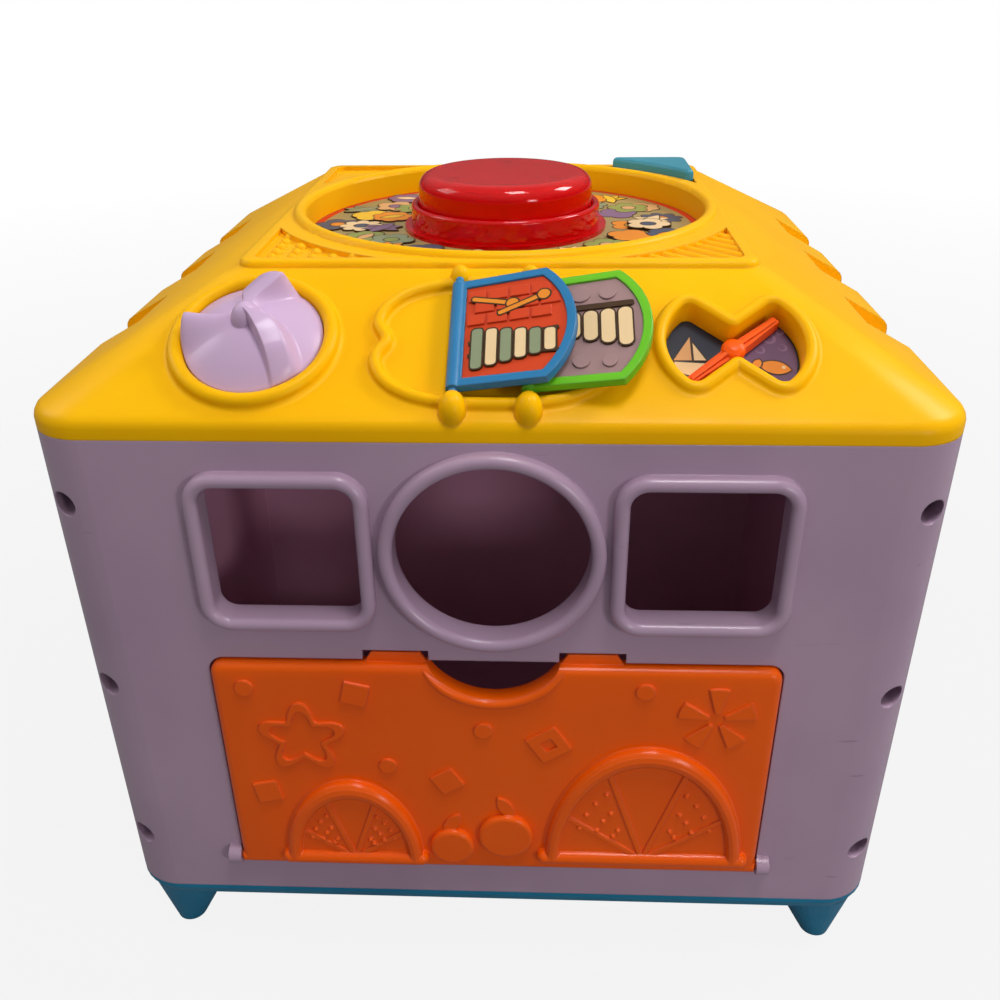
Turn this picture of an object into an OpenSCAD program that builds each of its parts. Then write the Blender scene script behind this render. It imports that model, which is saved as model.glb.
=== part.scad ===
// Activity cube: a free-standing toy with a shape sorter and bin door in front, and on top a turning
// bow knob, two turning pages, a swinging pointer and two push buttons.
// Millimetres, Z up. The front faces -Y and the origin is on the floor under the middle of the whole.

/* [Body] */
// Width of the body, side to side and front to back
body_w = 305; // [296:1:320]
// Height of the wall panels
wall_h = 203; // [198:1:220]
// Thickness of the panels and of the top cover
wall_t = 3; // [2.6:0.1:3.6]
// Radius of the upright corners
corner_r = 20; // [17:1:23]
// Depth of the front and rear panels, with the corners that they wrap round
wrap_d = 26; // [25:1:30]
// Rows of corner screws
screw_rows = 3; // [2:1:4]
// Height of the lowest and highest corner screw from the ends of the wall
screw_end = 26; // [22:1:32]

/* [Base] */
// Height of the base's underside over the floor
foot_h = 26; // [22:1:30]
// Height of the base's edge
base_h = 8; // [7.5:0.5:10]
// Rounding under the base's edge
base_round = 6; // [4:0.5:7]
// Thickness of the base's floor
base_floor = 3; // [2.8:0.1:4]
// Height of the lip that stands inside the walls
base_lip = 6; // [4:0.5:7]
// Width of a foot where it leaves the base
foot_w = 34; // [30:1:38]
// Diameter of a foot's tip
foot_tip_d = 12.4; // [10:0.2:16]

/* [Sorter] */
// Depth of the window centres under the top of the walls
window_drop = 41; // [40:0.5:44]
// Sideways place of the square windows
window_x = 70.5; // [69:0.5:72]
// Width of the square holes
square_hole = 51; // [48:0.5:52]
// Corner radius of the square holes
square_r = 6; // [4:0.5:8]
// Diameter of the round hole
round_hole = 66.4; // [62:0.2:67]
// Width of the bead round a hole
bead_w = 5; // [4:0.1:5.4]
// How far the beads stand out
bead_proud = 4.5; // [3.5:0.1:4.8]
// Depth of the bin behind the front panel
bin_d = 110; // [90:1:120]
// Wall of the bin
bin_t = 2.5; // [2:0.1:3]
// Drop of the bin's floor from back to front
bin_fall = 18; // [12:1:24]

/* [Door] */
// Width of the bin door
door_w = 204; // [198:1:208]
// Height of the bin door
door_h = 100; // [94:1:103]
// Height of its lower edge over the foot of the wall
door_rise = 17; // [16:0.5:20]
// How far its face stands out
door_proud = 3.5; // [3:0.1:3.8]
// Thickness of its plate
door_t = 2.5; // [2:0.1:3]
// Depth of its rim behind the plate
door_rim = 4; // [3:0.1:4.5]
// Rounding of its front edge
door_edge = 3; // [2:0.1:3.2]
// Height of its small raised pictures
relief_h = 1; // [0.6:0.1:1.2]
// Height of the two half slices on it
slice_h = 4; // [3:0.1:4.5]
// Width of the finger scoop
scoop_w = 47; // [40:1:50]
// Depth of the finger scoop
scoop_d = 14; // [12:0.5:16]
// Diameter of the hinge pins
door_pin_d = 3.2; // [2.6:0.1:3.4]

/* [Top cover] */
// Height of the upright lip
lip_up = 3.6; // [3:0.1:4.5]
// Rise from the walls to the plateau
cover_rise = 41.5; // [40:0.5:44]
// Width of the plateau
plateau_w = 184.4; // [182:0.2:188]
// Step from the slopes up to the plateau
plateau_step = 2.5; // [2:0.1:3]
// Width of the plateau's edge beside the well
well_edge = 8.2; // [7.7:0.1:9]
// Rounding of the plateau's edge
plateau_edge = 2; // [1:0.1:2.2]
// Depth of the well
well_depth = 10; // [9:0.5:11]
// Width of the bead round the well
well_bead = 5.5; // [5:0.1:6]
// Depth of the corner pockets
pocket_depth = 2; // [1.5:0.1:2.2]
// Depth of the steps in the side slopes
notch_depth = 4.6; // [3:0.1:5]

/* [Bow knob] */
// Sideways place of the knob
knob_x = -79.5; // [-81:0.5:-78]
// Diameter of the knob
knob_d = 46; // [44:0.5:47]
// Height of the bow's loops over the slope
bow_h = 10; // [9:0.5:11]
// Diameter of the knob's shaft
knob_shaft_d = 8; // [7:0.2:9]

/* [Pages] */
// Distance between the hinge lines of the pages
page_pitch = 24; // [23:0.5:26]
// Width of a page from its hinge line
page_w = 40; // [38:0.5:40.5]
// Length of a page along its hinge
page_len = 45; // [42:0.5:45.5]
// Thickness of a page frame
page_t = 3; // [2.6:0.1:3.2]
// Width of a page frame's rim
page_rim = 3; // [2.5:0.1:4]
// Height of the hinge lines over the slope
page_lift = 3.4; // [3.2:0.1:4]
// Tilt of the lower page at rest
page_tilt = 10; // [9.5:0.5:12]
// Extra tilt of the upper page at rest
page_fan = 2; // [1.5:0.5:4]
// Diameter of the hinge pins
page_pin_d = 3; // [2.4:0.1:3.2]

/* [Pointer] */
// Sideways place of the bow-tie window
tie_x = 79; // [78.5:0.5:80]
// Radius of the window
tie_r = 22.4; // [21.5:0.1:22.6]
// Slope of the window's waist lines
tie_angle = 41; // [38:1:44]
// Depth of the window
tie_depth = 8; // [7:0.2:8.4]
// Length of the pointer from its middle
pointer_len = 20.5; // [18:0.5:21]
// Height of the pointer's ridge
pointer_t = 6.2; // [5:0.1:6.4]
// Diameter of the pointer's shaft
pointer_shaft_d = 5; // [4:0.2:6]

/* [Buttons] */
// Diameter of the red push button
button_d = 73.4; // [70:0.2:74]
// Height of the red button over the well's floor
button_h = 23.5; // [22:0.5:24]
// Travel of the red button
button_travel = 4; // [3:0.5:4]
// Height of the collar round it
collar_h = 11.5; // [10:0.5:12]
// Wall of the collar
collar_t = 3; // [2.5:0.1:3.5]
// Height of the corner button over the plateau
key_h = 4.5; // [4:0.1:6]
// Travel of the corner button
key_travel = 2.5; // [2:0.1:2.8]

/* [Inside] */
// Height of the return spring under the red button
spring_h = 9; // [8.4:0.1:10]
// Length of a cell
cell_len = 50; // [49:0.5:50.5]
// Diameter of a cell
cell_d = 14.2; // [13.5:0.1:14.5]
// Diameter of the loudspeaker
speaker_d = 57; // [50:0.5:60]
// Thickness of the circuit board
board_t = 1.6; // [1.2:0.1:2]

/* [Fits] */
// Running clearance round a pin or shaft
run_gap = 0.08; // [0.05:0.01:0.1]
// Clearance between pieces that move past each other
move_gap = 0.4; // [0.3:0.05:0.5]
// Clearance between pieces that are fitted together
fit_gap = 0.2; // [0.1:0.05:0.25]

/* [Hidden] */
$fn = 48;
lilac = "#c5aac3";
yellow = "#f5bb12";
teal = "#147da5";
orange = "#ea5a10";
red = "#c80f14";
steel = "#b4b6ba";

// heights and half widths of the body
half = body_w / 2;
in_half = half - wall_t;
wall_z = foot_h + base_h;
top_z = wall_z + wall_h;
floor_z = foot_h + base_floor;
thin = 0.02;
through = 400;

// screws: shank and head
screw_r = 1.5;
head_r = 3.4;
head_h = 2.4;
pilot_r = screw_r + 0.05;
pass_r = screw_r + 0.2;
boss_r = 4.5;
small_r = 1.2;
small_head_r = 2.4;
small_pilot_r = small_r + 0.05;
small_bite = 7;
bite = 10;
panel_screw_len = 16;
base_screw_len = 20;
cover_screw_len = 14;
sink = 1.2;

// corner screws, driven from the front and from the rear
post_r = 6.5;
recess_r = 4.5;
recess_d = 15.5;
post_len = wrap_d - 6.5;
side_boss_len = 15;
corner_screw_x = in_half - post_r;
screw_pitch = (wall_h - 2 * screw_end + 1) / (screw_rows - 1);
screw_zs = [for (k = [0 : screw_rows - 1]) wall_z + screw_end + k * screw_pitch];

// screws that hold the base and the top cover on the side panels
fix_x = in_half - 8.5;
fix_y = 100;
tab_drop = 4;
tab_t = 3;
tab_r = 8;
base_boss_h = 27;

// top cover: slope_y and slope_z are where the slope starts over the rounded lip
lip_round = 4.3;
lip_inset = 3.1;
slope_y = half - lip_inset;
slope_z = top_z + lip_up + lip_round;
plateau_z = top_z + cover_rise;
plateau_half = plateau_w / 2;
well_d = plateau_w - 2 * well_edge;
plateau_r = 7;
slope_end_y = plateau_half + 1;
slope_end_z = plateau_z - plateau_step;
slope_deg = atan2(slope_end_z - slope_z, slope_y - slope_end_y);
slope_len = norm([slope_end_z - slope_z, slope_y - slope_end_y]);
slope_mid = slope_len / 2 - 1.7;
shell_drop = wall_t / cos(slope_deg);
well_z = plateau_z - well_depth;
well_under = well_z - wall_t;

// corner pockets of the plateau
pocket_half = plateau_half - 5.2;
pocket_r = well_d / 2 + 13;
pocket_z = plateau_z - pocket_depth;
ridge_r = 1.7;
bump_r = 2.2;
sunk = 0.3;

// steps in the side slopes
step_len = 32;
step_reach = 18;
step_ys = [82, 18, -51];

// door: hinge line and rim
hinge_r = 3;
door_face = half + door_proud;
hinge_y = door_face - hinge_r;
door_z = wall_z + door_rise;
hinge_z = door_z + hinge_r;
door_gap = 0.8;
door_r = 5;
tab_w = 22;
tab_x = 35;
tab_up = 4;
ear_w = 5;
ear_r = 4;
ear_x = door_w / 2 + move_gap;
pin_len = 4.4;
slice_tube = 2.6;
slice_bar = 3;
slice_rise = 1.48;
slice_rib = 2;
slice_foot = 7;
scoop_r = (pow(scoop_w / 2, 2) + pow(scoop_d, 2)) / (2 * scoop_d);
scoop_z = door_z + door_h - scoop_d + scoop_r;
// middle of the whole, which the front's raised pictures draw forward
centre_y = (door_face + slice_h - half) / 2;
bin_w = door_w + 17;
bin_z = door_z - 5;
bin_top = top_z - 4;
bin_ear = 9;
bin_post = 9;

// windows
bead_r = bead_w / 2;
window_z = top_z - window_drop;
window_tube = 3;

// knob
pocket_floor = 5;
bushing_len = 8;
bushing_r = knob_shaft_d / 2 + 3;
bezel_w = 5;
bezel_h = 4;
knob_low = -pocket_floor + move_gap;
knob_rim = 2.5;
knob_crown = 2.5;
knot_r = 4.4;
knot_h = bow_h + 2.5;
loop_in = knob_d / 2 - 5;
loop_out = knob_d / 2 - 0.4;
knob_end = -pocket_floor - bushing_len - move_gap;
washer_t = 1.2;

// pages
knuckle_r = 4.8;
knuckle_y = page_len / 2 + 5.6;
barrel_r = 2.4;
page_flare = 1.1;
page_bulge = 10;
page_arc_r = (pow(page_len / 2 + page_flare, 2) + pow(page_bulge, 2)) / (2 * page_bulge);
insert_t = 1.6;
insert_relief = 0.7;
book_half_w = 41.3;
book_half_l = page_len / 2 + 5.8;
book_curve = 2.8;
book_ridge = 4;
book_ridge_h = 3;
book_notch = 4;
book_notch_w = 5;

// bow-tie window and pointer
tie_waist = 5.6;
tie_rim = 4;
tie_corner = 3;
tie_rim_h = 2.5;
card_t = 0.8;
pointer_low = -tie_depth + card_t + move_gap;
pointer_hub_r = tie_waist * cos(tie_angle) - move_gap / 2;
pointer_root = 2.3;
pointer_tip = 1.5;
pointer_base = 4;
pointer_crown = 1.2;
pointer_end = -tie_depth - wall_t - 4 - move_gap;

// red button
collar_r = button_d / 2 + move_gap + collar_t;
button_top = well_z + button_h;
flange_w = 3;
flange_t = 1.6;
button_wall = 3;
button_round = 6;
button_low = well_z + button_travel + move_gap;
leg_r = 2.5;
leg_at = 24;
plate_t = 2.5;
plate_top = well_under - 0.3;
plate_in = 14;
plate_out = 29;
spring_r = 17.5;
spring_wire = 1.2;
spring_turns = 4;
spring_seat = 0.1;
board_top = plate_top - plate_t - spring_h;
board_half = 58;
board_edge = 8.5;
board_post = 50;
led_hole_r = 8;
led_r = 2.5;
switch_h = spring_h - button_travel - 0.4;
switch_w = 6;

// corner button
key_top = plateau_z + key_h;
key_wall = 2;
key_floor = pocket_z - 1.6;
key_low = key_floor + key_travel + move_gap;
// the stem stands as far from the straight sides as from the round one
key_at = (pocket_half + pocket_r) / (1 + sqrt(2));
key_room = pocket_half - key_at;
key_stem_r = 3;
board_reach = key_at + board_edge;
spring_clear = 3.2;
key_spring_r = key_room - key_wall - spring_clear;
key_spring_wire = 0.9;
key_spring_turns = 3;
key_stem_end = board_top + switch_h + key_travel + head_h;

// battery compartment
cells = 3;
cell_pitch = cell_d + 0.8;
contact_t = 0.5;
contact_spring_h = 6;
contact_r = 4;
contact_wire = 0.8;
contact_w = 10;
battery_back = 80.5;
battery_y = half - battery_back;
battery_w = cells * cell_pitch + 1.6;
battery_l = cell_len + contact_spring_h + 3 * contact_t + fit_gap;
battery_wall = 2.5;
hatch_t = 2.4;
hatch_ledge = 3;
hatch_screw = 9;
cell_z = foot_h + hatch_t + fit_gap + cell_d / 2 + 0.3;
battery_top = cell_z + cell_d / 2 + 2.5;

// loudspeaker
speaker_side = 70.5;
speaker_back = 74.5;
speaker_x = speaker_side - half;
speaker_y = half - speaker_back;
speaker_rim = 3;
speaker_cone_h = 9;
speaker_magnet_r = 14;
speaker_magnet_h = 8;
clamp_w = 4;
clamp_t = 2.5;
clamp_boss_at = speaker_d / 2 + 6;
grille_rings = 3;
grille_pitch = 6.5;
grille_r = 1.8;

// leads: points chosen by hand, from the compartment and the loudspeaker up to the board
lead_r = 1.4;
battery_lead_path = [[0, 40, battery_top], [0, 40, 58], [4, 34, 80], [10, 20, 120],
  [14, 10, 160], [16, 4, 200],
  [16, 0, 230], [16, 0, board_top - board_t]];
speaker_cap_z = floor_z + speaker_rim + speaker_cone_h + speaker_magnet_h;
speaker_lead_path = [[speaker_x, speaker_y, speaker_cap_z], [speaker_x, speaker_y, 62],
  [-76, 72, 90], [-62, 58, 130],
  [-50, 44, 170], [-44, 36, 205], [-42, 34, 232], [-42, 34, board_top - board_t]];

// flat shapes

module rounded_rect(w, d, r) {
  square([w - 2 * r, d], center = true);
  square([w, d - 2 * r], center = true);
  for (x = [-1, 1], y = [-1, 1])
    translate([x * (w / 2 - r), y * (d / 2 - r)]) circle(r);
}

module rounded_square(h, r) rounded_rect(2 * h, 2 * h, r);

module ring(r_out, r_in) difference() {
  circle(r_out);
  circle(r_in);
}

// hourglass between two arcs with rounded corners, for the pointer's window
function arc_points(c, r, from, to, n) =
  [for (k = [0 : n]) c + r * [cos(from + (to - from) * k / n), sin(from + (to - from) * k / n)]];
function tie_quarter(r, waist, corner) =
  let (reach = waist * cos(tie_angle) - corner,
    along = sqrt(pow(r - corner, 2) - pow(reach, 2)),
    middle = [along * cos(tie_angle) - reach * sin(tie_angle),
      along * sin(tie_angle) + reach * cos(tie_angle)],
    turn = atan2(middle[1], middle[0]))
  concat(arc_points([0, 0], r, turn / 8, turn * 7 / 8, 6),
    arc_points(middle, corner, turn, 90 + tie_angle, 6),
    arc_points([0, waist + corner / cos(tie_angle)], corner, tie_angle - 90, -90, 4));
function flipped(points, x, y) = [for (p = points) [x * p[0], y * p[1]]];
function backward(points) = [for (k = [len(points) - 2 : -1 : 0]) points[k]];
module bow_tie(r, waist, corner) {
  quarter = tie_quarter(r, waist, corner);
  polygon(concat(quarter, flipped(backward(quarter), -1, 1), flipped(quarter, -1, -1),
    flipped(backward(quarter), 1, -1)));
}

// page outline: hinge side at x = 0, bulging fore edge
module page_outline(inset) intersection() {
  translate([page_w - page_arc_r, 0]) circle(page_arc_r - inset);
  polygon([[inset, page_len / 2 - inset], [page_w, page_len / 2 + page_flare - inset],
    [page_w, inset - page_len / 2 - page_flare], [inset, inset - page_len / 2]]);
}

// outline of an open book, a soft rectangle drawn in at the middle of its two sides
function soft(v, n) = sign(v) * pow(abs(v), 2 / n);
function book_point(t, w, l) =
  let (y = l * soft(sin(t), book_curve), x = w * soft(cos(t), book_curve))
  [x - sign(x) * book_notch * exp(-pow(y / book_notch_w, 2)), y];
module book_outline(inset)
  polygon([for (t = [0 : 4 : 356]) book_point(t + 2, book_half_w - inset, book_half_l - inset)]);

// solid helpers

// places children on a slope: X along the edge, Y up the slope, Z out of it
module on_slope(x, s) translate([x, s * cos(slope_deg) - slope_y, slope_z + s * sin(slope_deg)])
  rotate([slope_deg, 0, 0]) children();

// places children on the front face: X to the right, Y up, Z out of it
module on_front(x, z) translate([x, -half, z]) rotate([90, 0, 0]) children();

// moves the whole so that its middle is over the origin
module centred() translate([0, centre_y, 0]) children();

module each_corner(x, y) for (i = [-1, 1], j = [-1, 1]) translate([i * x, j * y, 0]) children();

module tube(r_out, r_in, h) linear_extrude(h) ring(r_out, r_in);

// screw with its head under z = 0 and its shank pointing up
module screw(len, r = screw_r, head = head_r, head_high = head_h) {
  translate([0, 0, -head_high]) cylinder(r = head, h = head_high);
  translate([0, 0, -thin]) cylinder(r = r, h = len + thin);
}

// round tube swept along points, one ring of facets per point
function unit(v) = v / norm(v);
function path_dir(p, i) = unit(p[min(i + 1, len(p) - 1)] - p[max(i - 1, 0)]);
module swept_tube(path, r, sides, side_dir) {
  n = len(path);
  points = [for (i = [0 : n - 1])
    let (t = path_dir(path, i), a = unit(cross(t, side_dir)), b = cross(t, a))
    for (k = [0 : sides - 1]) path[i] + r * (cos(360 * k / sides) * a + sin(360 * k / sides) * b)];
  walls = [for (i = [0 : n - 2], k = [0 : sides - 1])
    let (m = (k + 1) % sides, p = i * sides + k, q = i * sides + m)
    each [[p, p + sides, q], [q, p + sides, q + sides]]];
  caps = [for (k = [1 : sides - 2]) each [[0, k, k + 1],
    [(n - 1) * sides, (n - 1) * sides + k + 1, (n - 1) * sides + k]]];
  polyhedron(points, concat(walls, caps));
}

module coil(r, wire, turns, h) {
  steps = turns * 8;
  path = [for (i = [0 : steps])
    [r * cos(i * 45), r * sin(i * 45), wire / 2 + (h - wire) * i / steps]];
  swept_tube(path, wire / 2, 6, [0, 0, 1]);
}

// bead of round section along a rounded square
module square_bead(h, r, b) for (k = [0 : 3]) rotate(90 * k) {
  translate([h - r, h - r, 0]) rotate_extrude(angle = 90) translate([r, 0]) circle(b);
  translate([h, 0, 0]) rotate([90, 0, 0]) cylinder(r = b, h = 2 * (h - r), center = true);
}

// base

module base_body() hull() {
  translate([0, 0, foot_h]) linear_extrude(thin) rounded_square(half - base_round, corner_r - 4, $fn = 32);
  translate([0, 0, foot_h + 0.3 * base_round]) linear_extrude(thin)
    rounded_square(half - 0.3 * base_round, corner_r - 1, $fn = 32);
  translate([0, 0, foot_h + base_round]) linear_extrude(base_h - base_round)
    rounded_square(half, corner_r, $fn = 32);
}

module foot() hull() {
  translate([half - 3 - foot_w / 2, half - 3 - foot_w / 2, foot_h + 1]) linear_extrude(thin)
    rounded_square(foot_w / 2, corner_r - 5, $fn = 32);
  translate([half - 16, half - 16, 0]) cylinder(d = foot_tip_d, h = 1.5, $fn = 32);
}

module base_hollow() translate([0, 0, floor_z]) linear_extrude(wall_h)
  rounded_square(in_half - fit_gap - 2.5, corner_r - wall_t - 2.5);

module grille_holes() translate([speaker_x, speaker_y, foot_h - 1]) {
  cylinder(r = grille_r, h = base_floor + 2);
  for (k = [1 : grille_rings], i = [0 : 6 * k - 1])
    rotate(i * 60 / k) translate([k * grille_pitch, 0, 0]) cylinder(r = grille_r, h = base_floor + 2);
}

module battery_box() translate([-battery_w / 2 - battery_wall,
  battery_y - battery_l / 2 - battery_wall, foot_h])
  cube([battery_w + 2 * battery_wall, battery_l + 2 * battery_wall, battery_top - foot_h]);

module battery_room() {
  translate([-battery_w / 2, battery_y - battery_l / 2, foot_h - 1])
    cube([battery_w, battery_l, battery_top - battery_wall + 1 - foot_h]);
  translate([0, battery_y, foot_h - 1]) linear_extrude(hatch_t + fit_gap + 1) hatch_outline(fit_gap);
}

module hatch_outline(grow) {
  rounded_rect(battery_w + 2 * (hatch_ledge + grow), battery_l + 2 * (hatch_ledge + grow), 3 + grow);
  translate([0, battery_l / 2 + hatch_ledge]) circle(hatch_screw + grow);
}

module hatch_screw_at(z) translate([0, battery_y + battery_l / 2 + hatch_ledge + 4, z]) children();

module speaker_bosses(r, h) translate([speaker_x, speaker_y, floor_z - thin]) for (k = [0 : 2])
  rotate(120 * k) translate([clamp_boss_at, 0, 0]) cylinder(r = r, h = h);

module base_tray() color(teal) difference() {
  union() {
    difference() {
      union() {
        base_body();
        each_mirror() foot();
      }
      base_hollow();
    }
    difference() {
      translate([0, 0, wall_z - 1]) linear_extrude(base_lip + 1)
        rounded_square(in_half - fit_gap, corner_r - wall_t);
      base_hollow();
    }
    battery_box();
    hatch_screw_at(floor_z - thin) cylinder(r = boss_r, h = 10);
    speaker_bosses(boss_r - 1, speaker_rim - fit_gap);
  }
  battery_room();
  hatch_screw_at(foot_h) cylinder(r = pilot_r, h = base_floor + 8);
  speaker_bosses(pilot_r, through);
  grille_holes();
  each_corner(fix_x, fix_y) {
    translate([0, 0, foot_h - 1]) cylinder(r = head_r + fit_gap, h = 1 + base_floor - sink);
    translate([0, 0, foot_h - 1]) cylinder(r = pass_r, h = base_floor + 2);
  }
}

module each_mirror() {
  children();
  mirror([1, 0, 0]) children();
  mirror([0, 1, 0]) children();
  mirror([1, 0, 0]) mirror([0, 1, 0]) children();
}

module base_screws() color(steel) each_corner(fix_x, fix_y)
  translate([0, 0, floor_z - sink]) screw(base_screw_len, head_high = base_floor - sink);

// wall panels

module body_prism() translate([0, 0, wall_z]) linear_extrude(wall_h) rounded_square(half, corner_r);

module wrap_shell() translate([0, 0, wall_z]) linear_extrude(wall_h) intersection() {
  difference() {
    rounded_square(half, corner_r);
    rounded_square(in_half, corner_r - wall_t);
  }
  translate([-half, -half]) square([body_w, wrap_d]);
}

module corner_screw_axes(y) for (side = [-1, 1], z = screw_zs)
  translate([side * corner_screw_x, y, z]) rotate([-90, 0, 0]) children();

// shell with screw posts in its two corners, shared by the front and the rear panel
module wrap_panel() difference() {
  union() {
    wrap_shell();
    intersection() {
      corner_screw_axes(-half) cylinder(r = post_r, h = post_len);
      body_prism();
    }
    children(0);
  }
  corner_screw_axes(-half - 1) cylinder(r = recess_r, h = recess_d + 1);
  corner_screw_axes(-half) cylinder(r = pass_r, h = wrap_d);
  children(1);
}

module window_beads() {
  for (side = [-1, 1]) on_front(side * window_x, window_z) {
    translate([0, 0, bead_proud - bead_r])
      square_bead(square_hole / 2 + bead_r, square_r + bead_r, bead_r);
    translate([0, 0, -wall_t - window_tube]) linear_extrude(wall_t + window_tube + bead_proud - bead_r)
      rounded_square(square_hole / 2 + bead_w, square_r + bead_w);
  }
  on_front(0, window_z) {
    translate([0, 0, bead_proud - bead_r])
      rotate_extrude() translate([round_hole / 2 + bead_r, 0]) circle(bead_r);
    translate([0, 0, -wall_t - window_tube])
      cylinder(d = round_hole + 2 * bead_w, h = wall_t + window_tube + bead_proud - bead_r);
  }
}

module window_holes() {
  for (side = [-1, 1]) on_front(side * window_x, window_z) translate([0, 0, -wall_t - window_tube - 1])
    linear_extrude(wall_t + window_tube + bead_w + 2) rounded_square(square_hole / 2, square_r);
  on_front(0, window_z) translate([0, 0, -wall_t - window_tube - 1])
    cylinder(d = round_hole, h = wall_t + window_tube + bead_w + 2);
}

// front outline of the door, seen from the front; grow is negative for the inside of the rim
module door_outline(grow) difference() {
  translate([0, door_z + door_h / 2]) rounded_rect(door_w + 2 * grow, door_h + 2 * grow, door_r + grow);
  translate([0, scoop_z]) circle(scoop_r - grow);
}

module door_tabs(grow) for (side = [-1, 1]) translate([side * tab_x, door_z + door_h])
  translate([-tab_w / 2 - grow, -door_t]) square([tab_w + 2 * grow, door_t + tab_up + grow]);

// opening behind the door, square at its lower corners where the hinge barrel turns
module door_opening() on_front(0, 0) translate([0, 0, -wall_t - 1]) linear_extrude(wall_t + 2) {
  translate([0, door_z + door_h / 2])
    rounded_rect(door_w + 2 * door_gap, door_h + 2 * door_gap, door_r + door_gap);
  translate([-door_w / 2 - door_gap, door_z - door_gap]) square([door_w + 2 * door_gap, door_h / 2]);
  door_tabs(door_gap);
}

module hinge_ears() for (side = [-1, 1]) translate([side * (ear_x + ear_w / 2), -hinge_y, hinge_z]) {
  rotate([0, 90, 0]) cylinder(r = ear_r, h = ear_w, center = true);
  translate([-ear_w / 2, 0, -ear_r]) cube([ear_w, hinge_y - in_half, 2 * ear_r]);
}

// ledges behind the door's upper rim that stop it when it shuts
module door_stops() for (side = [-1, 1]) translate([side * 75 - 10, 0, door_z + door_h - 6]) {
  translate([0, door_rim + door_t + move_gap - door_face, 0]) cube([20, 2.5, 12]);
  translate([0, -in_half - 1, 6 + door_gap]) cube([20, 4, 12]);
}

module bin_posts(r, from, to) for (side = [-1, 1], z = [bin_z + 32, bin_top - 12])
  translate([side * (bin_w / 2 + bin_ear / 2), from - in_half, z]) rotate([-90, 0, 0])
    cylinder(r = r, h = to - from);

module front_panel() color(lilac) wrap_panel() {
  union() {
    window_beads();
    hinge_ears();
    door_stops();
    bin_posts(boss_r, -1, bin_post);
  }
  union() {
    window_holes();
    door_opening();
    bin_posts(pilot_r, 0, bin_post + 1);
    translate([0, -hinge_y, hinge_z]) rotate([0, 90, 0])
      cylinder(d = door_pin_d + 2 * run_gap, h = 2 * (ear_x + pin_len + move_gap), center = true);
  }
}

module rear_panel() color(lilac) mirror([0, 1, 0]) wrap_panel() {
  union() {}
  union() {}
}

// right-hand side panel with the bosses that the screws of its neighbours bite into
module side_panel() difference() {
  edge = half - wrap_d - fit_gap;
  boss_y = half - post_len - fit_gap;
  union() {
    translate([in_half, -edge, wall_z]) cube([wall_t, 2 * edge, wall_h]);
    for (m = [0, 1], z = screw_zs) mirror([0, m, 0]) {
      translate([corner_screw_x, -boss_y, z]) rotate([-90, 0, 0]) cylinder(r = boss_r, h = side_boss_len);
      translate([corner_screw_x, -edge, z - 2]) cube([in_half - corner_screw_x + 1,
        side_boss_len + edge - boss_y, 4]);
    }
    for (y = [-fix_y, fix_y]) translate([fix_x, y, 0]) {
      translate([0, 0, floor_z + fit_gap]) cylinder(r = boss_r, h = base_boss_h);
      translate([0, -1.5, wall_z + base_lip + 1])
        cube([in_half - fix_x + 1, 3, floor_z + base_boss_h - wall_z - base_lip - 1]);
      translate([0, 0, top_z - tab_drop - tab_t]) {
        cylinder(r = tab_r, h = tab_t);
        translate([0, -tab_r, 0]) cube([in_half - fix_x + 1, 2 * tab_r, tab_t]);
      }
    }
  }
  for (m = [0, 1], z = screw_zs) mirror([0, m, 0])
    translate([corner_screw_x, -half, z]) rotate([-90, 0, 0])
      cylinder(r = pilot_r, h = post_len + side_boss_len);
  for (y = [-fix_y, fix_y]) translate([fix_x, y, 0]) {
    cylinder(r = pilot_r, h = floor_z + base_boss_h - 3);
    translate([0, 0, top_z - tab_drop - tab_t - 1]) cylinder(r = pass_r, h = tab_t + 2);
  }
}

module right_panel() color(lilac) side_panel();

module left_panel() color(lilac) mirror([1, 0, 0]) side_panel();

module panel_screws() color(steel) for (m = [0, 1]) mirror([0, m, 0])
  corner_screw_axes(recess_d - half) screw(panel_screw_len);

module cover_screws() color(steel) each_corner(fix_x, fix_y)
  translate([0, 0, top_z - tab_drop - tab_t]) screw(cover_screw_len);

// sorter bin

// side view of the bin, open at the front; a negative grow gives its inside
module bin_profile(grow) polygon([[grow - in_half - 1, bin_z - grow],
  [bin_d - in_half + grow, bin_z + bin_fall - grow], [bin_d - in_half + grow, bin_top + grow],
  [grow - in_half - 1, bin_top + grow]]);

module bin_block(grow) translate([-bin_w / 2 - grow, 0, 0]) rotate([90, 0, 90])
  linear_extrude(bin_w + 2 * grow) bin_profile(grow);

module sorter_bin() color(lilac) difference() {
  union() {
    bin_block(0);
    for (side = [-1, 1], z = [bin_z + 32, bin_top - 12])
      translate([side * (bin_w / 2 + bin_ear / 2) - bin_ear / 2 - 1, bin_post + fit_gap - in_half, z - 6])
        cube([bin_ear + 2, bin_t, 12]);
  }
  bin_block(-bin_t);
  translate([-body_w, -body_w - in_half + fit_gap, 0]) cube([2 * body_w, body_w, through]);
  bin_posts(pass_r, 0, bin_post + bin_t + 2);
  on_front(0, window_z) translate([0, 0, -wall_t - window_tube - fit_gap])
    linear_extrude(through) square([2 * (window_x + square_hole), round_hole + 4 * bead_w], center = true);
}

module bin_screws() color(steel) for (side = [-1, 1], z = [bin_z + 32, bin_top - 12])
  translate([side * (bin_w / 2 + bin_ear / 2), bin_post + fit_gap + bin_t - in_half, z])
    rotate([90, 0, 0]) screw(bin_post);

// bin door

// five-lobed flower line
function flower_point(t, r) = r * (1 + 0.28 * cos(5 * t)) * [cos(t), sin(t)];
module flower_line(r, w) difference() {
  polygon([for (t = [0 : 6 : 354]) flower_point(t, r + w / 2)]);
  polygon([for (t = [0 : 6 : 354]) flower_point(t, r - w / 2)]);
}

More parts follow.
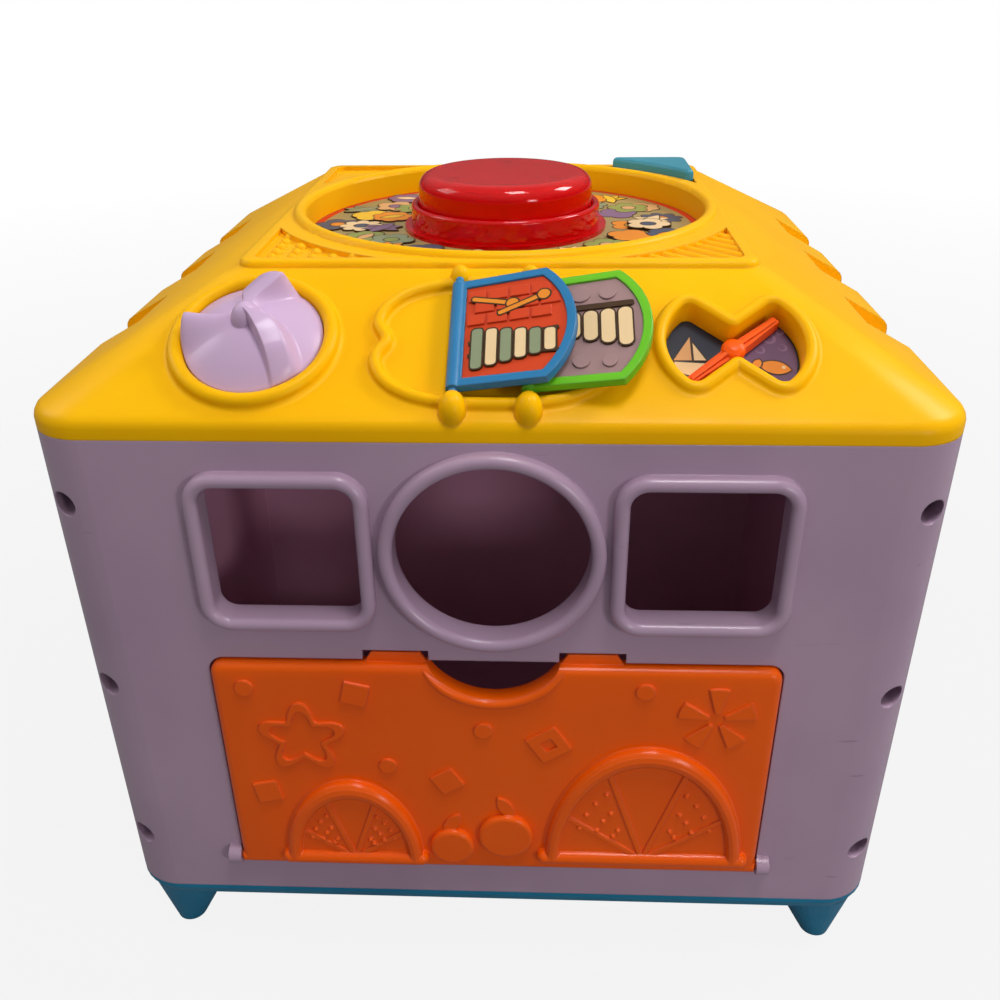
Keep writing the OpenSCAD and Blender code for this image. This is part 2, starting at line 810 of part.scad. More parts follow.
module pinwheel(r, blades) for (k = [0 : blades - 1]) rotate(360 * k / blades + 90)
  rim_sector(r * 0.22, r, 15);

// half of a tall fruit slice, and the ribs between its segments
module arch(r) polygon([for (k = [0 : 30]) r * [cos(6 * k), slice_rise * sin(6 * k)]]);

module slice_ribs(r, w) intersection() {
  for (k = [1 : 4]) rotate(36 * k) translate([0, -w / 2]) square([2 * r, w]);
  arch(r);
}

module leaf(len) intersection() {
  translate([0, len * 0.45]) circle(len * 0.67);
  translate([0, -len * 0.45]) circle(len * 0.67);
}

module small_pictures() {
  dot_r = 3.4;
  tile = 9.4;
  for (p = [[-90, 90], [-40, 54], [-4, 72], [54, 91]]) translate(p) circle(dot_r);
  for (p = [[-50, 88, -14], [-87, 40, 12], [-18, 47, 33]]) translate([p[0], p[1]]) rotate(p[2])
    square(tile, center = true);
  translate([20, 66]) rotate(33) difference() {
    square(tile + 3, center = true);
    square(tile / 2, center = true);
  }
  translate([-71, 67]) rotate(18) flower_line(11.5, 3);
  translate([80, 79]) pinwheel(14, 5);
  for (p = [[-17, 25, 60], [4, 34, 120]]) translate([p[0], p[1]]) rotate(p[2]) leaf(12);
}

// arch, plate and foot bar of a half slice, standing out of the door
module half_slice(r, foot) {
  linear_extrude(slice_h - slice_tube) arch(r - slice_tube);
  linear_extrude(slice_h - slice_tube + slice_rib / 3) slice_ribs(r - slice_tube, slice_rib);
  for (k = [0 : 3]) linear_extrude(slice_h - slice_tube * (1 - sin(30 * k))) difference() {
    arch(r - slice_tube * (1 - cos(27 * k)));
    arch(r - slice_tube * (1 + cos(27 * k)));
  }
  translate([0, 0, slice_h - slice_bar]) rotate([0, 90, 0]) cylinder(r = slice_bar, h = foot, center = true);
  translate([-foot / 2, -slice_bar, 0]) cube([foot, 2 * slice_bar, slice_h - slice_bar]);
  for (side = [-1, 1]) translate([side * foot / 2, 0, 0]) {
    cylinder(r = slice_bar, h = slice_h - slice_bar);
    translate([0, 0, slice_h - slice_bar]) sphere(slice_bar);
  }
}

// round berry with a stepped edge
module berry(r) {
  linear_extrude(slice_h - slice_tube + 0.4) circle(r);
  linear_extrude(slice_h - slice_tube + 1.2) circle(r - 1.2);
}

// plate with rounded front edges
module door_slice(z, h, inset) translate([0, door_z + door_h / 2, z]) linear_extrude(h)
  rounded_rect(door_w - 2 * inset, door_h - 2 * inset, door_r - min(inset, door_r - 1), $fn = 32);

module door_plate() difference() {
  hull() {
    door_slice(door_proud - door_t - door_rim, door_t + door_rim - door_edge, 0);
    door_slice(door_proud - 0.62 * door_edge, thin, 0.08 * door_edge);
    door_slice(door_proud - 0.3 * door_edge, thin, 0.29 * door_edge);
    door_slice(door_proud - 0.08 * door_edge, thin, 0.62 * door_edge);
    door_slice(door_proud - thin, thin, door_edge);
  }
  translate([0, scoop_z, -wall_t - door_rim]) cylinder(r = scoop_r, h = through);
}

module bin_door() color(orange) {
  back = door_proud - door_t - door_rim;
  on_front(0, 0) {
    difference() {
      union() {
        door_plate();
        translate([0, 0, -tab_t / 2]) linear_extrude(tab_t / 2) door_tabs(0);
      }
      // hollow behind the plate, above the hinge barrel
      translate([0, 0, back - 1]) linear_extrude(door_rim + 1) difference() {
        door_outline(-door_t);
        translate([-door_w, 0]) square([2 * door_w, hinge_z + hinge_r]);
      }
      translate([-door_w, door_z - 1, back - 1]) cube([2 * door_w, hinge_r + 1, door_t + door_rim + 2]);
      translate([-door_w, door_z - 1, back - 1])
        cube([2 * door_w, 2 * hinge_r + 1, door_rim + door_t - 2 * hinge_r + 1]);
    }
    translate([0, door_z, door_proud - thin]) {
      linear_extrude(relief_h + thin) small_pictures();
      translate([-55.5, slice_foot, 0]) half_slice(26.5, 52);
      translate([57, slice_foot + 2.5, 0]) half_slice(37.5, 76);
      translate([-17, slice_foot + 7, 0]) berry(8.5);
      translate([4, slice_foot + 13, 0]) berry(10.5);
    }
  }
  translate([0, -hinge_y, hinge_z]) rotate([0, 90, 0]) {
    cylinder(r = hinge_r, h = door_w - 2 * move_gap, center = true);
    cylinder(d = door_pin_d, h = 2 * (ear_x + pin_len), center = true);
  }
}

// top cover

module cover_slice(z, h, w, r) translate([0, 0, z]) linear_extrude(h) rounded_square(w, r, $fn = 64);

module cover_outer() hull() {
  cover_slice(top_z, lip_up, half, corner_r);
  cover_slice(top_z + lip_up + 0.35 * lip_round, thin, half - 0.1 * lip_inset, corner_r);
  cover_slice(top_z + lip_up + 0.7 * lip_round, thin, half - 0.42 * lip_inset, corner_r - 0.4 * lip_inset);
  cover_slice(slope_z - thin, thin, slope_y, corner_r - lip_inset);
  cover_slice(slope_end_z - thin, thin, slope_end_y, plateau_r + 1);
}

module cover_hollow() hull() {
  cover_slice(top_z - 1, slope_z - shell_drop - top_z + 1, min(in_half, slope_y), corner_r - wall_t);
  cover_slice(slope_end_z - shell_drop - thin, thin, slope_end_y, plateau_r + 1);
}

// raised square with a rounded edge
module plateau() hull() {
  cover_slice(slope_end_z - wall_t, plateau_step - plateau_edge + wall_t, plateau_half, plateau_r);
  plateau_slice(0.45, 0.18);
  plateau_slice(0.14, 0.48);
  plateau_slice(0, 1);
}

module plateau_slice(down, in) cover_slice(plateau_z - down * plateau_edge - thin, thin,
  plateau_half - in * plateau_edge, plateau_r - in * plateau_edge);

module pocket_outline(grow) difference() {
  intersection() {
    rounded_square(pocket_half + grow, 4 + grow);
    square(plateau_w);
  }
  circle(pocket_r - grow);
}

module pocket_bumps() {
  pitch = 7.4;
  for (i = [0 : 4], j = [0 : 4 - i])
    translate([pocket_half - 5.4 - i * pitch, pocket_half - 5.4 - j * pitch, pocket_z - sunk])
      sphere(bump_r);
}

module pocket_ridges() intersection() {
  translate([0, 0, pocket_z - 1]) linear_extrude(pocket_depth + 0.6) pocket_outline(sunk);
  union() for (k = [-4 : 4]) rotate(45) translate([0, k * 6, pocket_z - sunk]) rotate([0, 90, 0])
    cylinder(r = ridge_r, h = plateau_w);
}

// sawtooth steps along a side slope, deepest at their rear end
module slope_steps(depth, low, reach) for (y = step_ys) rotate(90) on_slope(y, 0)
  rotate([90, 0, 0]) translate([0, 0, -reach]) linear_extrude(reach + 14)
    polygon([[-step_len, low], [0, low], [0, -depth], [-step_len, min(low, 0)]]);

module step_backing() for (y = step_ys) rotate(90) on_slope(y, 0)
  translate([-step_len - 3, -12, -notch_depth - wall_t])
    cube([step_len + 6, step_reach + 15, notch_depth + wall_t]);

// capsule-like pads that carry the ends of the page hinges
module knuckles() for (side = [-1, 1], end = [-1, 1]) on_slope(side * page_pitch / 2, slope_mid)
  translate([0, end * knuckle_y, page_lift - 0.6]) sphere(knuckle_r);

module page_axis_bores() for (side = [-1, 1]) on_slope(side * page_pitch / 2, slope_mid)
  translate([0, 0, page_lift]) rotate([90, 0, 0])
    cylinder(d = page_pin_d + 2 * run_gap, h = 2 * knuckle_y + 0.6, center = true);

module cover_fittings() {
  // well with its bead
  difference() {
    translate([0, 0, well_under]) cylinder(d = well_d + 2 * wall_t, h = plateau_z - well_under);
    translate([0, 0, well_z]) cylinder(d = well_d, h = plateau_z);
  }
  translate([0, 0, plateau_z - 0.6]) rotate_extrude() translate([(well_d + well_bead) / 2, 0])
    circle(well_bead / 2);
  // knob bezel, its cup and bushing
  on_slope(knob_x, slope_mid) {
    translate([0, 0, -pocket_floor - wall_t])
      cylinder(r = knob_d / 2 + move_gap + wall_t, h = pocket_floor + wall_t);
    translate([0, 0, -pocket_floor - bushing_len]) cylinder(r = bushing_r, h = bushing_len);
    translate([0, 0, -1]) cylinder(r = knob_d / 2 + move_gap + bezel_w, h = bezel_h - bezel_w / 2 + 1);
    translate([0, 0, bezel_h - bezel_w / 2]) rotate_extrude()
      translate([knob_d / 2 + move_gap + bezel_w / 2, 0]) circle(bezel_w / 2);
  }
  // raised book outline and hinge pads
  on_slope(0, slope_mid) translate([0, 0, -1]) linear_extrude(book_ridge_h + 1) difference() {
    book_outline(0);
    book_outline(book_ridge);
  }
  knuckles();
  // bow-tie window and its tray
  on_slope(tie_x, slope_mid) {
    translate([0, 0, -tie_depth - wall_t]) linear_extrude(tie_depth + wall_t + tie_rim_h)
      bow_tie(tie_r + tie_rim, tie_waist + tie_rim, tie_corner + tie_rim / 2);
    translate([0, 0, -tie_depth - wall_t - 4]) cylinder(r = pointer_shaft_d / 2 + 3, h = 5);
  }
  // posts for the circuit board
  each_corner(board_post, board_post) translate([0, 0, board_top])
    cylinder(r = boss_r, h = well_under - board_top + 1);
  // stops behind the side steps, and bosses for the cover's screws
  intersection() {
    union() {
      each_corner(fix_x, fix_y) translate([0, 0, top_z - tab_drop + fit_gap])
        cylinder(r = boss_r, h = cover_rise);
      step_backing();
      mirror([1, 0, 0]) step_backing();
    }
    union() {
      cover_outer();
      translate([0, 0, top_z - tab_drop]) linear_extrude(tab_drop + 1)
        rounded_square(fix_x + boss_r, corner_r - 11);
    }
  }
}

module cover_cuts() {
  translate([0, 0, well_z]) cylinder(d = well_d, h = cover_rise);
  translate([0, 0, well_under - 1]) cylinder(r = led_hole_r, h = wall_t + 2);
  for (k = [0 : 2]) rotate(120 * k + 90) translate([leg_at, 0, well_under - 1])
    cylinder(r = leg_r + run_gap, h = wall_t + 2);
  for (k = [1 : 3]) rotate(90 * k) translate([0, 0, pocket_z]) linear_extrude(cover_rise) pocket_outline(0);
  translate([0, 0, key_floor]) linear_extrude(cover_rise) pocket_outline(0);
  translate([key_at, key_at, well_under - 10]) cylinder(r = key_stem_r + run_gap, h = cover_rise);
  on_slope(knob_x, slope_mid) {
    translate([0, 0, -pocket_floor]) cylinder(r = knob_d / 2 + move_gap, h = pocket_floor + 20);
    translate([0, 0, -30]) cylinder(d = knob_shaft_d + 2 * run_gap, h = 40);
  }
  on_slope(tie_x, slope_mid) {
    translate([0, 0, -tie_depth]) linear_extrude(tie_depth + 20)
      bow_tie(tie_r, tie_waist, tie_corner);
    translate([0, 0, -30]) cylinder(d = pointer_shaft_d + 2 * run_gap, h = 40);
  }
  page_axis_bores();
  each_corner(fix_x, fix_y) translate([0, 0, top_z - tab_drop - tab_t])
    cylinder(r = pilot_r, h = cover_screw_len + 1);
  each_corner(board_post, board_post) translate([0, 0, board_top - 1])
    cylinder(r = pilot_r, h = small_bite + 2);
  slope_steps(notch_depth, 3, step_reach);
  mirror([1, 0, 0]) slope_steps(notch_depth, 3, step_reach);
}

module top_cover() color(yellow) {
  difference() {
    union() {
      difference() {
        union() {
          cover_outer();
          plateau();
        }
        cover_hollow();
      }
      cover_fittings();
    }
    cover_cuts();
  }
  rotate(180) pocket_bumps();
  rotate(-90) pocket_ridges();
}

// bow knob

// end of a bow loop at the knob's edge, a ring sector
module rim_sector(r_in, r_out, spread)
  polygon([for (k = [0 : 4]) let (a = (k / 2 - 1) * spread) r_out * [cos(a), sin(a)],
  for (k = [0 : 4]) let (a = (1 - k / 2) * spread) r_in * [cos(a), sin(a)]]);

// loop of the bow, narrow at the knot and flared at the knob's edge
module bow_loop(turn, foot_spread, top_spread, low, high) rotate(turn) hull() {
  translate([0, 0, knob_rim]) cylinder(r = knot_r - 1, h = knot_h - knob_rim - 3, $fn = 16);
  translate([0, 0, knob_rim]) linear_extrude(low - knob_rim) rim_sector(loop_in, loop_out, foot_spread);
  translate([0, 0, high - thin]) linear_extrude(thin) rim_sector(loop_in, loop_out - 1, top_spread);
}

module knob_disc() rotate_extrude() polygon([[0, knob_low], [knob_d / 2, knob_low], [knob_d / 2, knob_rim],
  [knob_d / 3, knob_rim + 0.6 * knob_crown], [knob_d / 6, knob_rim + 0.9 * knob_crown],
  [0, knob_rim + knob_crown]]);

module bow_knob() color(lilac) on_slope(knob_x, slope_mid) difference() {
  union() {
    knob_disc();
    translate([0, 0, knob_end]) cylinder(d = knob_shaft_d, h = knob_low - knob_end + 1);
    cylinder(r1 = knot_r + 1, r2 = knot_r, h = knot_h);
    bow_loop(190, 30, 12, knob_rim + 2, bow_h);
    bow_loop(74, 26, 17, knob_rim + 2, bow_h);
    bow_loop(-49, 15, 9, knob_rim + 1.5, knob_rim + 4);
  }
  translate([0, 0, knob_end - 1]) cylinder(r = pilot_r, h = bite + 3);
}

module knob_washer() color(steel) on_slope(knob_x, slope_mid)
  translate([0, 0, knob_end - washer_t]) tube(bushing_r + 1, pass_r, washer_t);

module knob_screw() color(steel) on_slope(knob_x, slope_mid)
  translate([0, 0, knob_end - washer_t]) screw(bite + washer_t);

// pages: modelled flat on their hinge line, then tilted to where they rest

module page_place(side, tilt) on_slope(side * page_pitch / 2, slope_mid)
  translate([0, 0, page_lift]) rotate([0, -tilt, 0]) children();

module page_frame() {
  difference() {
    translate([0, 0, -page_t / 2]) linear_extrude(page_t) difference() {
      page_outline(0);
      page_outline(page_rim);
    }
    rotate([90, 0, 0]) cylinder(r = barrel_r - 0.6, h = page_len, center = true);
  }
  rotate([90, 0, 0]) {
    cylinder(r = barrel_r, h = page_len, center = true);
    cylinder(d = page_pin_d, h = 2 * knuckle_y, center = true);
  }
}

module page_plate() translate([0, 0, -insert_t / 2]) linear_extrude(insert_t) page_outline(page_rim + 0.05);

// rows of bricks above, bars of a xylophone below
module brick_relief() {
  for (row = [0 : 2], k = [0 : 3]) translate([6.5 + 7.4 * k + 3 * (row % 2), 4.5 + 5.2 * row])
    square([6.4, 4.2], center = true);
  for (k = [0 : 5]) translate([7.5 + 4.8 * k, -8]) square([3.4, 16.4 - 1.5 * k], center = true);
}

// soap bubbles above and below, chime bars hanging from a rail between them
module bubble_relief() {
  for (p = [[8, 15, 3], [17, 14.5, 3.4], [26, 14, 2.8], [9, -9, 3.2], [17, -14, 2.8], [26, -15, 2.4]])
    translate([p[0], p[1]]) circle(p[2]);
  translate([20, 8.4]) square([28, 2], center = true);
  for (k = [0 : 4]) translate([9 + 5.6 * k, 6.4 - (9 + 1.7 * k) / 2])
    square([4.2, 8.8 + 1.7 * k], center = true);
}

module both_faces() for (m = [0, 1]) mirror([0, 0, m]) translate([0, 0, insert_t / 2 - thin])
  linear_extrude(insert_relief + thin) intersection() {
    children();
    page_outline(page_rim + 1);
  }

module blue_page_frame() color("#2d82b4") page_place(-1, page_tilt + page_fan) page_frame();

module blue_page_insert() color("#dc4b18") page_place(-1, page_tilt + page_fan) {
  page_plate();
  both_faces() brick_relief();
}

module green_page_frame() color("#6ec823") page_place(1, page_tilt) page_frame();

module green_page_insert() color("#a5827d") page_place(1, page_tilt) {
  page_plate();
  both_faces() bubble_relief();
}

// pointer in the bow-tie window

module window_card() color("#283040") on_slope(tie_x, slope_mid) translate([0, 0, -tie_depth])
  linear_extrude(card_t) difference() {
    bow_tie(tie_r - fit_gap, tie_waist - fit_gap, tie_corner);
    circle(d = pointer_shaft_d + 1);
  }

module pointer_blade() {
  translate([0, 0, pointer_low]) linear_extrude(pointer_base)
    polygon([[0, pointer_root], [pointer_len, pointer_tip], [pointer_len, -pointer_tip], [0, -pointer_root]]);
  // ridge along the blade, lower towards its tip
  rotate([90, 0, 0]) translate([0, 0, -pointer_tip / 2]) linear_extrude(pointer_tip)
    polygon([[0, pointer_low], [pointer_len - 1, pointer_low],
      [pointer_len - 1, pointer_low + pointer_base + 0.4 * pointer_crown],
      [0, pointer_low + pointer_base + pointer_crown]]);
}

// domed hub
module pointer_hub() translate([0, 0, pointer_low]) rotate_extrude() polygon([[0, 0], [pointer_hub_r, 0],
  [pointer_hub_r, pointer_t - 2], [0.85 * pointer_hub_r, pointer_t - 1],
  [0.5 * pointer_hub_r, pointer_t - 0.2], [0.2 * pointer_hub_r, pointer_t], [0, pointer_t]]);

module pointer() color("#fa5010") on_slope(tie_x, slope_mid) rotate(tie_angle) difference() {
  union() {
    pointer_blade();
    rotate(180) pointer_blade();
    pointer_hub();
    translate([0, 0, pointer_end]) cylinder(d = pointer_shaft_d, h = pointer_low - pointer_end + 1);
  }
  translate([0, 0, pointer_end - 1]) cylinder(r = small_pilot_r, h = small_bite + 2);
}

module pointer_washer() color(steel) on_slope(tie_x, slope_mid)
  translate([0, 0, pointer_end - washer_t]) tube(pointer_shaft_d / 2 + 3.5, pass_r, washer_t);

module pointer_screw() color(steel) on_slope(tie_x, slope_mid)
  translate([0, 0, pointer_end - washer_t]) screw(small_bite + washer_t, r = small_r);

// well and red button

module well_disc() color("#cfa84a") translate([0, 0, well_z])
  tube(well_d / 2 - fit_gap, collar_r + fit_gap, card_t);

module button_collar() color(red) translate([0, 0, well_z]) rotate_extrude() {
  translate([button_d / 2 + move_gap, 0]) square([collar_t, collar_h - collar_t / 2]);
  translate([button_d / 2 + move_gap + collar_t / 2, collar_h - collar_t / 2]) circle(collar_t / 2);
  translate([collar_r - thin, card_t + fit_gap / 2]) square([flange_w + thin, flange_t]);
}

module button_section(inset, low) {
  r = button_d / 2 - inset;
  top = button_top - inset;
  round_r = button_round - inset;
  translate([0, low]) square([r - round_r, top - low]);
  translate([0, low]) square([r, top - round_r - low]);
  translate([r - round_r, top - round_r]) intersection() {
    circle(round_r);
    square(round_r);
  }
}

module button_cap() color(red) difference() {
  union() {
    rotate_extrude() difference() {
      button_section(0, button_low);
      button_section(button_wall, button_low - 1);
    }
    for (k = [0 : 2]) rotate(120 * k + 90) translate([leg_at, 0, plate_top])
      cylinder(r = leg_r, h = button_top - button_wall - plate_top + 1);
  }
  for (k = [0 : 2]) rotate(120 * k + 90) translate([leg_at, 0, plate_top - 1])
    cylinder(r = small_pilot_r, h = small_bite + 2);
}

module button_plate() color("white") translate([0, 0, plate_top - plate_t]) difference() {
  tube(plate_out, plate_in, plate_t);
  for (k = [0 : 2]) rotate(120 * k + 90) translate([leg_at, 0, -1])
    cylinder(r = small_r + 0.15, h = plate_t + 2);
}

module plate_screws() color(steel) for (k = [0 : 2]) rotate(120 * k + 90)
  translate([leg_at, 0, plate_top - plate_t]) screw(plate_t + small_bite, r = small_r,
    head = small_head_r, head_high = small_r);

module button_spring() color(steel) translate([0, 0, board_top + spring_seat])
  coil(spring_r, spring_wire, spring_turns, spring_h - 2 * spring_seat);

// corner button

module corner_button() color("#3c8ca0") difference() {
  union() {
    difference() {
      translate([0, 0, key_low]) linear_extrude(key_top - key_low) pocket_outline(-move_gap);
      translate([0, 0, key_low - 1]) linear_extrude(key_top - key_wall - key_low + 1)
        pocket_outline(-move_gap - key_wall);
    }
    translate([key_at, key_at, key_stem_end]) cylinder(r = key_stem_r, h = key_top - 1 - key_stem_end);
  }
  translate([key_at, key_at, key_stem_end - 1]) cylinder(r = small_pilot_r, h = small_bite + 2);
}

module corner_spring() color(steel) translate([key_at, key_at, key_floor + spring_seat])
  coil(key_spring_r, key_spring_wire, key_spring_turns, key_top - key_wall - key_floor - 2 * spring_seat);

module corner_washer() color(steel) translate([key_at, key_at, key_stem_end - washer_t])
  tube(key_stem_r + 3, screw_r, washer_t);

module corner_screw() color(steel) translate([key_at, key_at, key_stem_end - washer_t])
  screw(small_bite - 1 + washer_t, r = small_r, head = small_head_r, head_high = head_h - washer_t);

// electronics

module circuit_board() color("#2f7d46") difference() {
  translate([-board_half, -board_half, board_top - board_t])
    cube([board_half + board_reach, board_half + board_reach, board_t]);
  each_corner(board_post, board_post) translate([0, 0, board_top - board_t - 1])
    cylinder(r = pass_r, h = board_t + 2);
}

module board_screws() color(steel) each_corner(board_post, board_post)
  translate([0, 0, board_top - board_t]) screw(board_t + small_bite);

module switch_body() {
  translate([-switch_w / 2, -switch_w / 2, 0]) cube([switch_w, switch_w, switch_h - 1]);
  cylinder(r = 1.7, h = switch_h);
}

module press_switches() color("#202020") {
  rotate(150) translate([leg_at, 0, board_top]) switch_body();
  translate([key_at, key_at, board_top]) switch_body();
}

module lamp_holder() color("white") translate([0, 0, board_top])
  tube(led_r + 2, led_r - 0.6, well_z + 1 - board_top);

module lamp() color("#f4f0e6") translate([0, 0, well_z + 1]) {
  cylinder(r = led_r + 0.6, h = 1);
  cylinder(r = led_r, h = 5);
  translate([0, 0, 5]) sphere(led_r);
}

module loudspeaker() color("#303236") translate([speaker_x, speaker_y, floor_z]) rotate_extrude()
  polygon([[0, 3],
  [speaker_d / 2 - 5, 0.6], [speaker_d / 2 - 4, 0], [speaker_d / 2, 0], [speaker_d / 2, speaker_rim],
  [speaker_d / 2 - 5, speaker_rim], [speaker_magnet_r, speaker_rim + speaker_cone_h - 1],
  [speaker_magnet_r + 2, speaker_rim + speaker_cone_h],
  [speaker_magnet_r + 2, speaker_rim + speaker_cone_h + speaker_magnet_h],
  [0, speaker_rim + speaker_cone_h + speaker_magnet_h]]);

module speaker_clamp() color("#d8d8d8") translate([speaker_x, speaker_y, floor_z + speaker_rim])
  difference() {
  union() {
    tube(speaker_d / 2 + clamp_w, speaker_d / 2 - 3, clamp_t);
    for (k = [0 : 2]) rotate(120 * k) translate([clamp_boss_at, 0, 0]) cylinder(r = 5, h = clamp_t);
  }
  for (k = [0 : 2]) rotate(120 * k) translate([clamp_boss_at, 0, -1]) cylinder(r = pass_r, h = clamp_t + 2);
  translate([0, 0, -1]) cylinder(d = speaker_d - 6, h = clamp_t + 2);
}

module speaker_screws() color(steel) translate([speaker_x, speaker_y, floor_z + speaker_rim + clamp_t])
  for (k = [0 : 2]) rotate(120 * k) translate([clamp_boss_at, 0, 0]) mirror([0, 0, 1])
    screw(clamp_t + speaker_rim - 0.4);

module at_cells() for (k = [0 : cells - 1])
  translate([(k - (cells - 1) / 2) * cell_pitch, battery_y - battery_l / 2, cell_z])
    rotate([-90, 0, 0]) children();

module battery_cells() color("#3a3c40") at_cells()
  translate([0, 0, contact_t + contact_spring_h + fit_gap / 2]) {
  cylinder(d = cell_d, h = cell_len - 1);
  cylinder(d = 5.4, h = cell_len);
}

module battery_contacts() color(steel) at_cells() {
  translate([-contact_w / 2, -contact_w / 2, fit_gap / 4]) cube([contact_w, contact_w, contact_t]);
  translate([0, 0, contact_t]) coil(contact_r, contact_wire, 3, contact_spring_h);
  translate([-contact_w / 2, -contact_w / 2, battery_l - contact_t - fit_gap / 4])
    cube([contact_w, contact_w, contact_t]);
}

module battery_cover() color(teal) difference() {
  translate([0, battery_y, foot_h]) linear_extrude(hatch_t) hatch_outline(0);
  hatch_screw_at(foot_h - 1) {
    cylinder(r = pass_r, h = hatch_t + 2);
    cylinder(r = head_r + fit_gap, h = 2);
  }
}

module battery_cover_screw() color(steel) hatch_screw_at(foot_h + 1) screw(9, head_high = 1);

module battery_lead() color("#b02020") swept_tube(battery_lead_path, lead_r, 8, [1, 0, 0]);

module speaker_lead() color("#202020") swept_tube(speaker_lead_path, lead_r, 8, [1, 0, 0]);

centred() base_tray();
centred() front_panel();
centred() rear_panel();
centred() left_panel();
centred() right_panel();
centred() panel_screws();
centred() base_screws();
centred() top_cover();
centred() cover_screws();
centred() sorter_bin();
centred() bin_screws();
centred() bin_door();
centred() bow_knob();
centred() knob_washer();
centred() knob_screw();
centred() blue_page_frame();
centred() blue_page_insert();
centred() green_page_frame();
centred() green_page_insert();
centred() pointer();
centred() pointer_washer();
centred() pointer_screw();
centred() window_card();
centred() well_disc();
centred() button_collar();
centred() button_cap();
centred() button_plate();
centred() plate_screws();
centred() button_spring();
centred() corner_button();
centred() corner_spring();
centred() corner_washer();
centred() corner_screw();
centred() circuit_board();
centred() board_screws();
centred() press_switches();
centred() lamp_holder();
centred() lamp();
centred() loudspeaker();
centred() speaker_clamp();
centred() speaker_screws();
centred() battery_cells();
centred() battery_contacts();
centred() battery_cover();
centred() battery_cover_screw();
centred() battery_lead();
centred() speaker_lead();
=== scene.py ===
import math

import bpy
from mathutils import Matrix, Vector


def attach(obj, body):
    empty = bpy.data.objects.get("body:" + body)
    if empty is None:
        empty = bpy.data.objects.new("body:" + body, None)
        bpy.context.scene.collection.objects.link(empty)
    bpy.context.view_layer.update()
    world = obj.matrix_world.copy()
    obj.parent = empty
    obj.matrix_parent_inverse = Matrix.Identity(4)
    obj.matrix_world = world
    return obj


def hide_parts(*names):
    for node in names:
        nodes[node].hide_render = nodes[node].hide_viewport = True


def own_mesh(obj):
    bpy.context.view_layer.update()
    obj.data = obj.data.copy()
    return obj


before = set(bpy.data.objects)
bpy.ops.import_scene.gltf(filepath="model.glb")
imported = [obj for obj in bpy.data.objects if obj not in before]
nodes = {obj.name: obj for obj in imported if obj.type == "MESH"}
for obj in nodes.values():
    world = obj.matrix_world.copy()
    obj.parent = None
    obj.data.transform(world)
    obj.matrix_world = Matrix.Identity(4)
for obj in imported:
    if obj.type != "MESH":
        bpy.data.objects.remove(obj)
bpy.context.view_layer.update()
scene = bpy.context.scene
mm = 0.001
weld = 0.01 * mm  # corners closer than this become one
# an edge that turns by more degrees than these stays sharp
crease = {"plain": 38, "door": 42, "slab": 40, "sweep": 50, "bulb": 60, "knob": 75}


# ways of working that several pieces share

def deselect():
    bpy.ops.object.select_all(action="DESELECT")


def pickOnly(obj):
    deselect()
    obj.select_set(True)
    bpy.context.view_layer.objects.active = obj


def newObject(name, data):
    obj = bpy.data.objects.new(name, data)
    scene.collection.objects.link(obj)
    return obj


def settle(obj, place):  # puts the object's place into its mesh
    obj.matrix_world = place @ obj.matrix_world
    bpy.context.view_layer.update()
    pickOnly(obj)
    bpy.ops.object.transform_apply(location=True, rotation=True, scale=True)


def smoothShade(obj, degrees):
    pickOnly(obj)
    bpy.ops.object.shade_smooth_by_angle(angle=math.radians(degrees))


def joinInto(first, others):
    pickOnly(first)
    for obj in others:
        obj.select_set(True)
    bpy.ops.object.join()
    return first


def mergeCorners(obj):
    pickOnly(obj)
    bpy.ops.object.mode_set(mode="EDIT")
    bpy.ops.mesh.select_all(action="SELECT")
    bpy.ops.mesh.remove_doubles(threshold=weld)
    bpy.ops.object.mode_set(mode="OBJECT")


def deleteFaces(obj, goes):  # goes(face) says whether a face is taken off
    pickOnly(obj)
    # by faces, else shared corners would pick more of them
    bpy.context.tool_settings.mesh_select_mode = (False, False, True)
    bpy.ops.object.mode_set(mode="EDIT")
    bpy.ops.mesh.select_all(action="DESELECT")
    bpy.ops.object.mode_set(mode="OBJECT")
    for face in obj.data.polygons:
        face.select = goes(face)
    bpy.ops.object.mode_set(mode="EDIT")
    bpy.ops.mesh.delete(type="FACE")
    bpy.ops.object.mode_set(mode="OBJECT")


def span(spots, axis):  # least and greatest of the spots along an axis
    values = [spot[axis] for spot in spots]
    return min(values), max(values)


def dress(obj, body, slot, finish, *stoodFor):
    obj.data.materials.clear()
    obj.data.materials.append(finish)
    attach(obj, body)
    if stoodFor:
        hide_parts(*stoodFor)
    return obj


# a CAD solid's copy with its triangles merged and its curves shaded smooth
def cadCopy(node, name, degrees=crease["plain"]):
    obj = newObject(name, nodes[node].data.copy())
    mergeCorners(obj)
    bpy.ops.mesh.customdata_custom_splitnormals_clear()
    smoothShade(obj, degrees)
    return obj


# the front slope, in mm and degrees: X along the edge, Y up the slope, Z out of it
slopePlan = {"tilt": 28.9593, "middleY": -119.037, "middleZ": 259.627,
             "knobX": -79.5, "windowX": 79.0, "hingeX": 12.0}
wellY = 3.75  # middle of the well, the disc and the button


def onSlope(x, up=0.0, out=0.0):
    turn = Matrix.Rotation(math.radians(slopePlan["tilt"]), 4, "X")
    spot = Matrix.Translation((x * mm, slopePlan["middleY"] * mm, slopePlan["middleZ"] * mm))
    return spot @ turn @ Matrix.Translation((0, up * mm, out * mm))


# shader steps, each returning the socket that the next one takes

def addNode(tree, kind, **sockets):  # an underscore stands for the space in a socket's name
    node = tree.nodes.new(kind)
    for key, value in sockets.items():
        node.inputs[key.replace("_", " ")].default_value = value
    return node


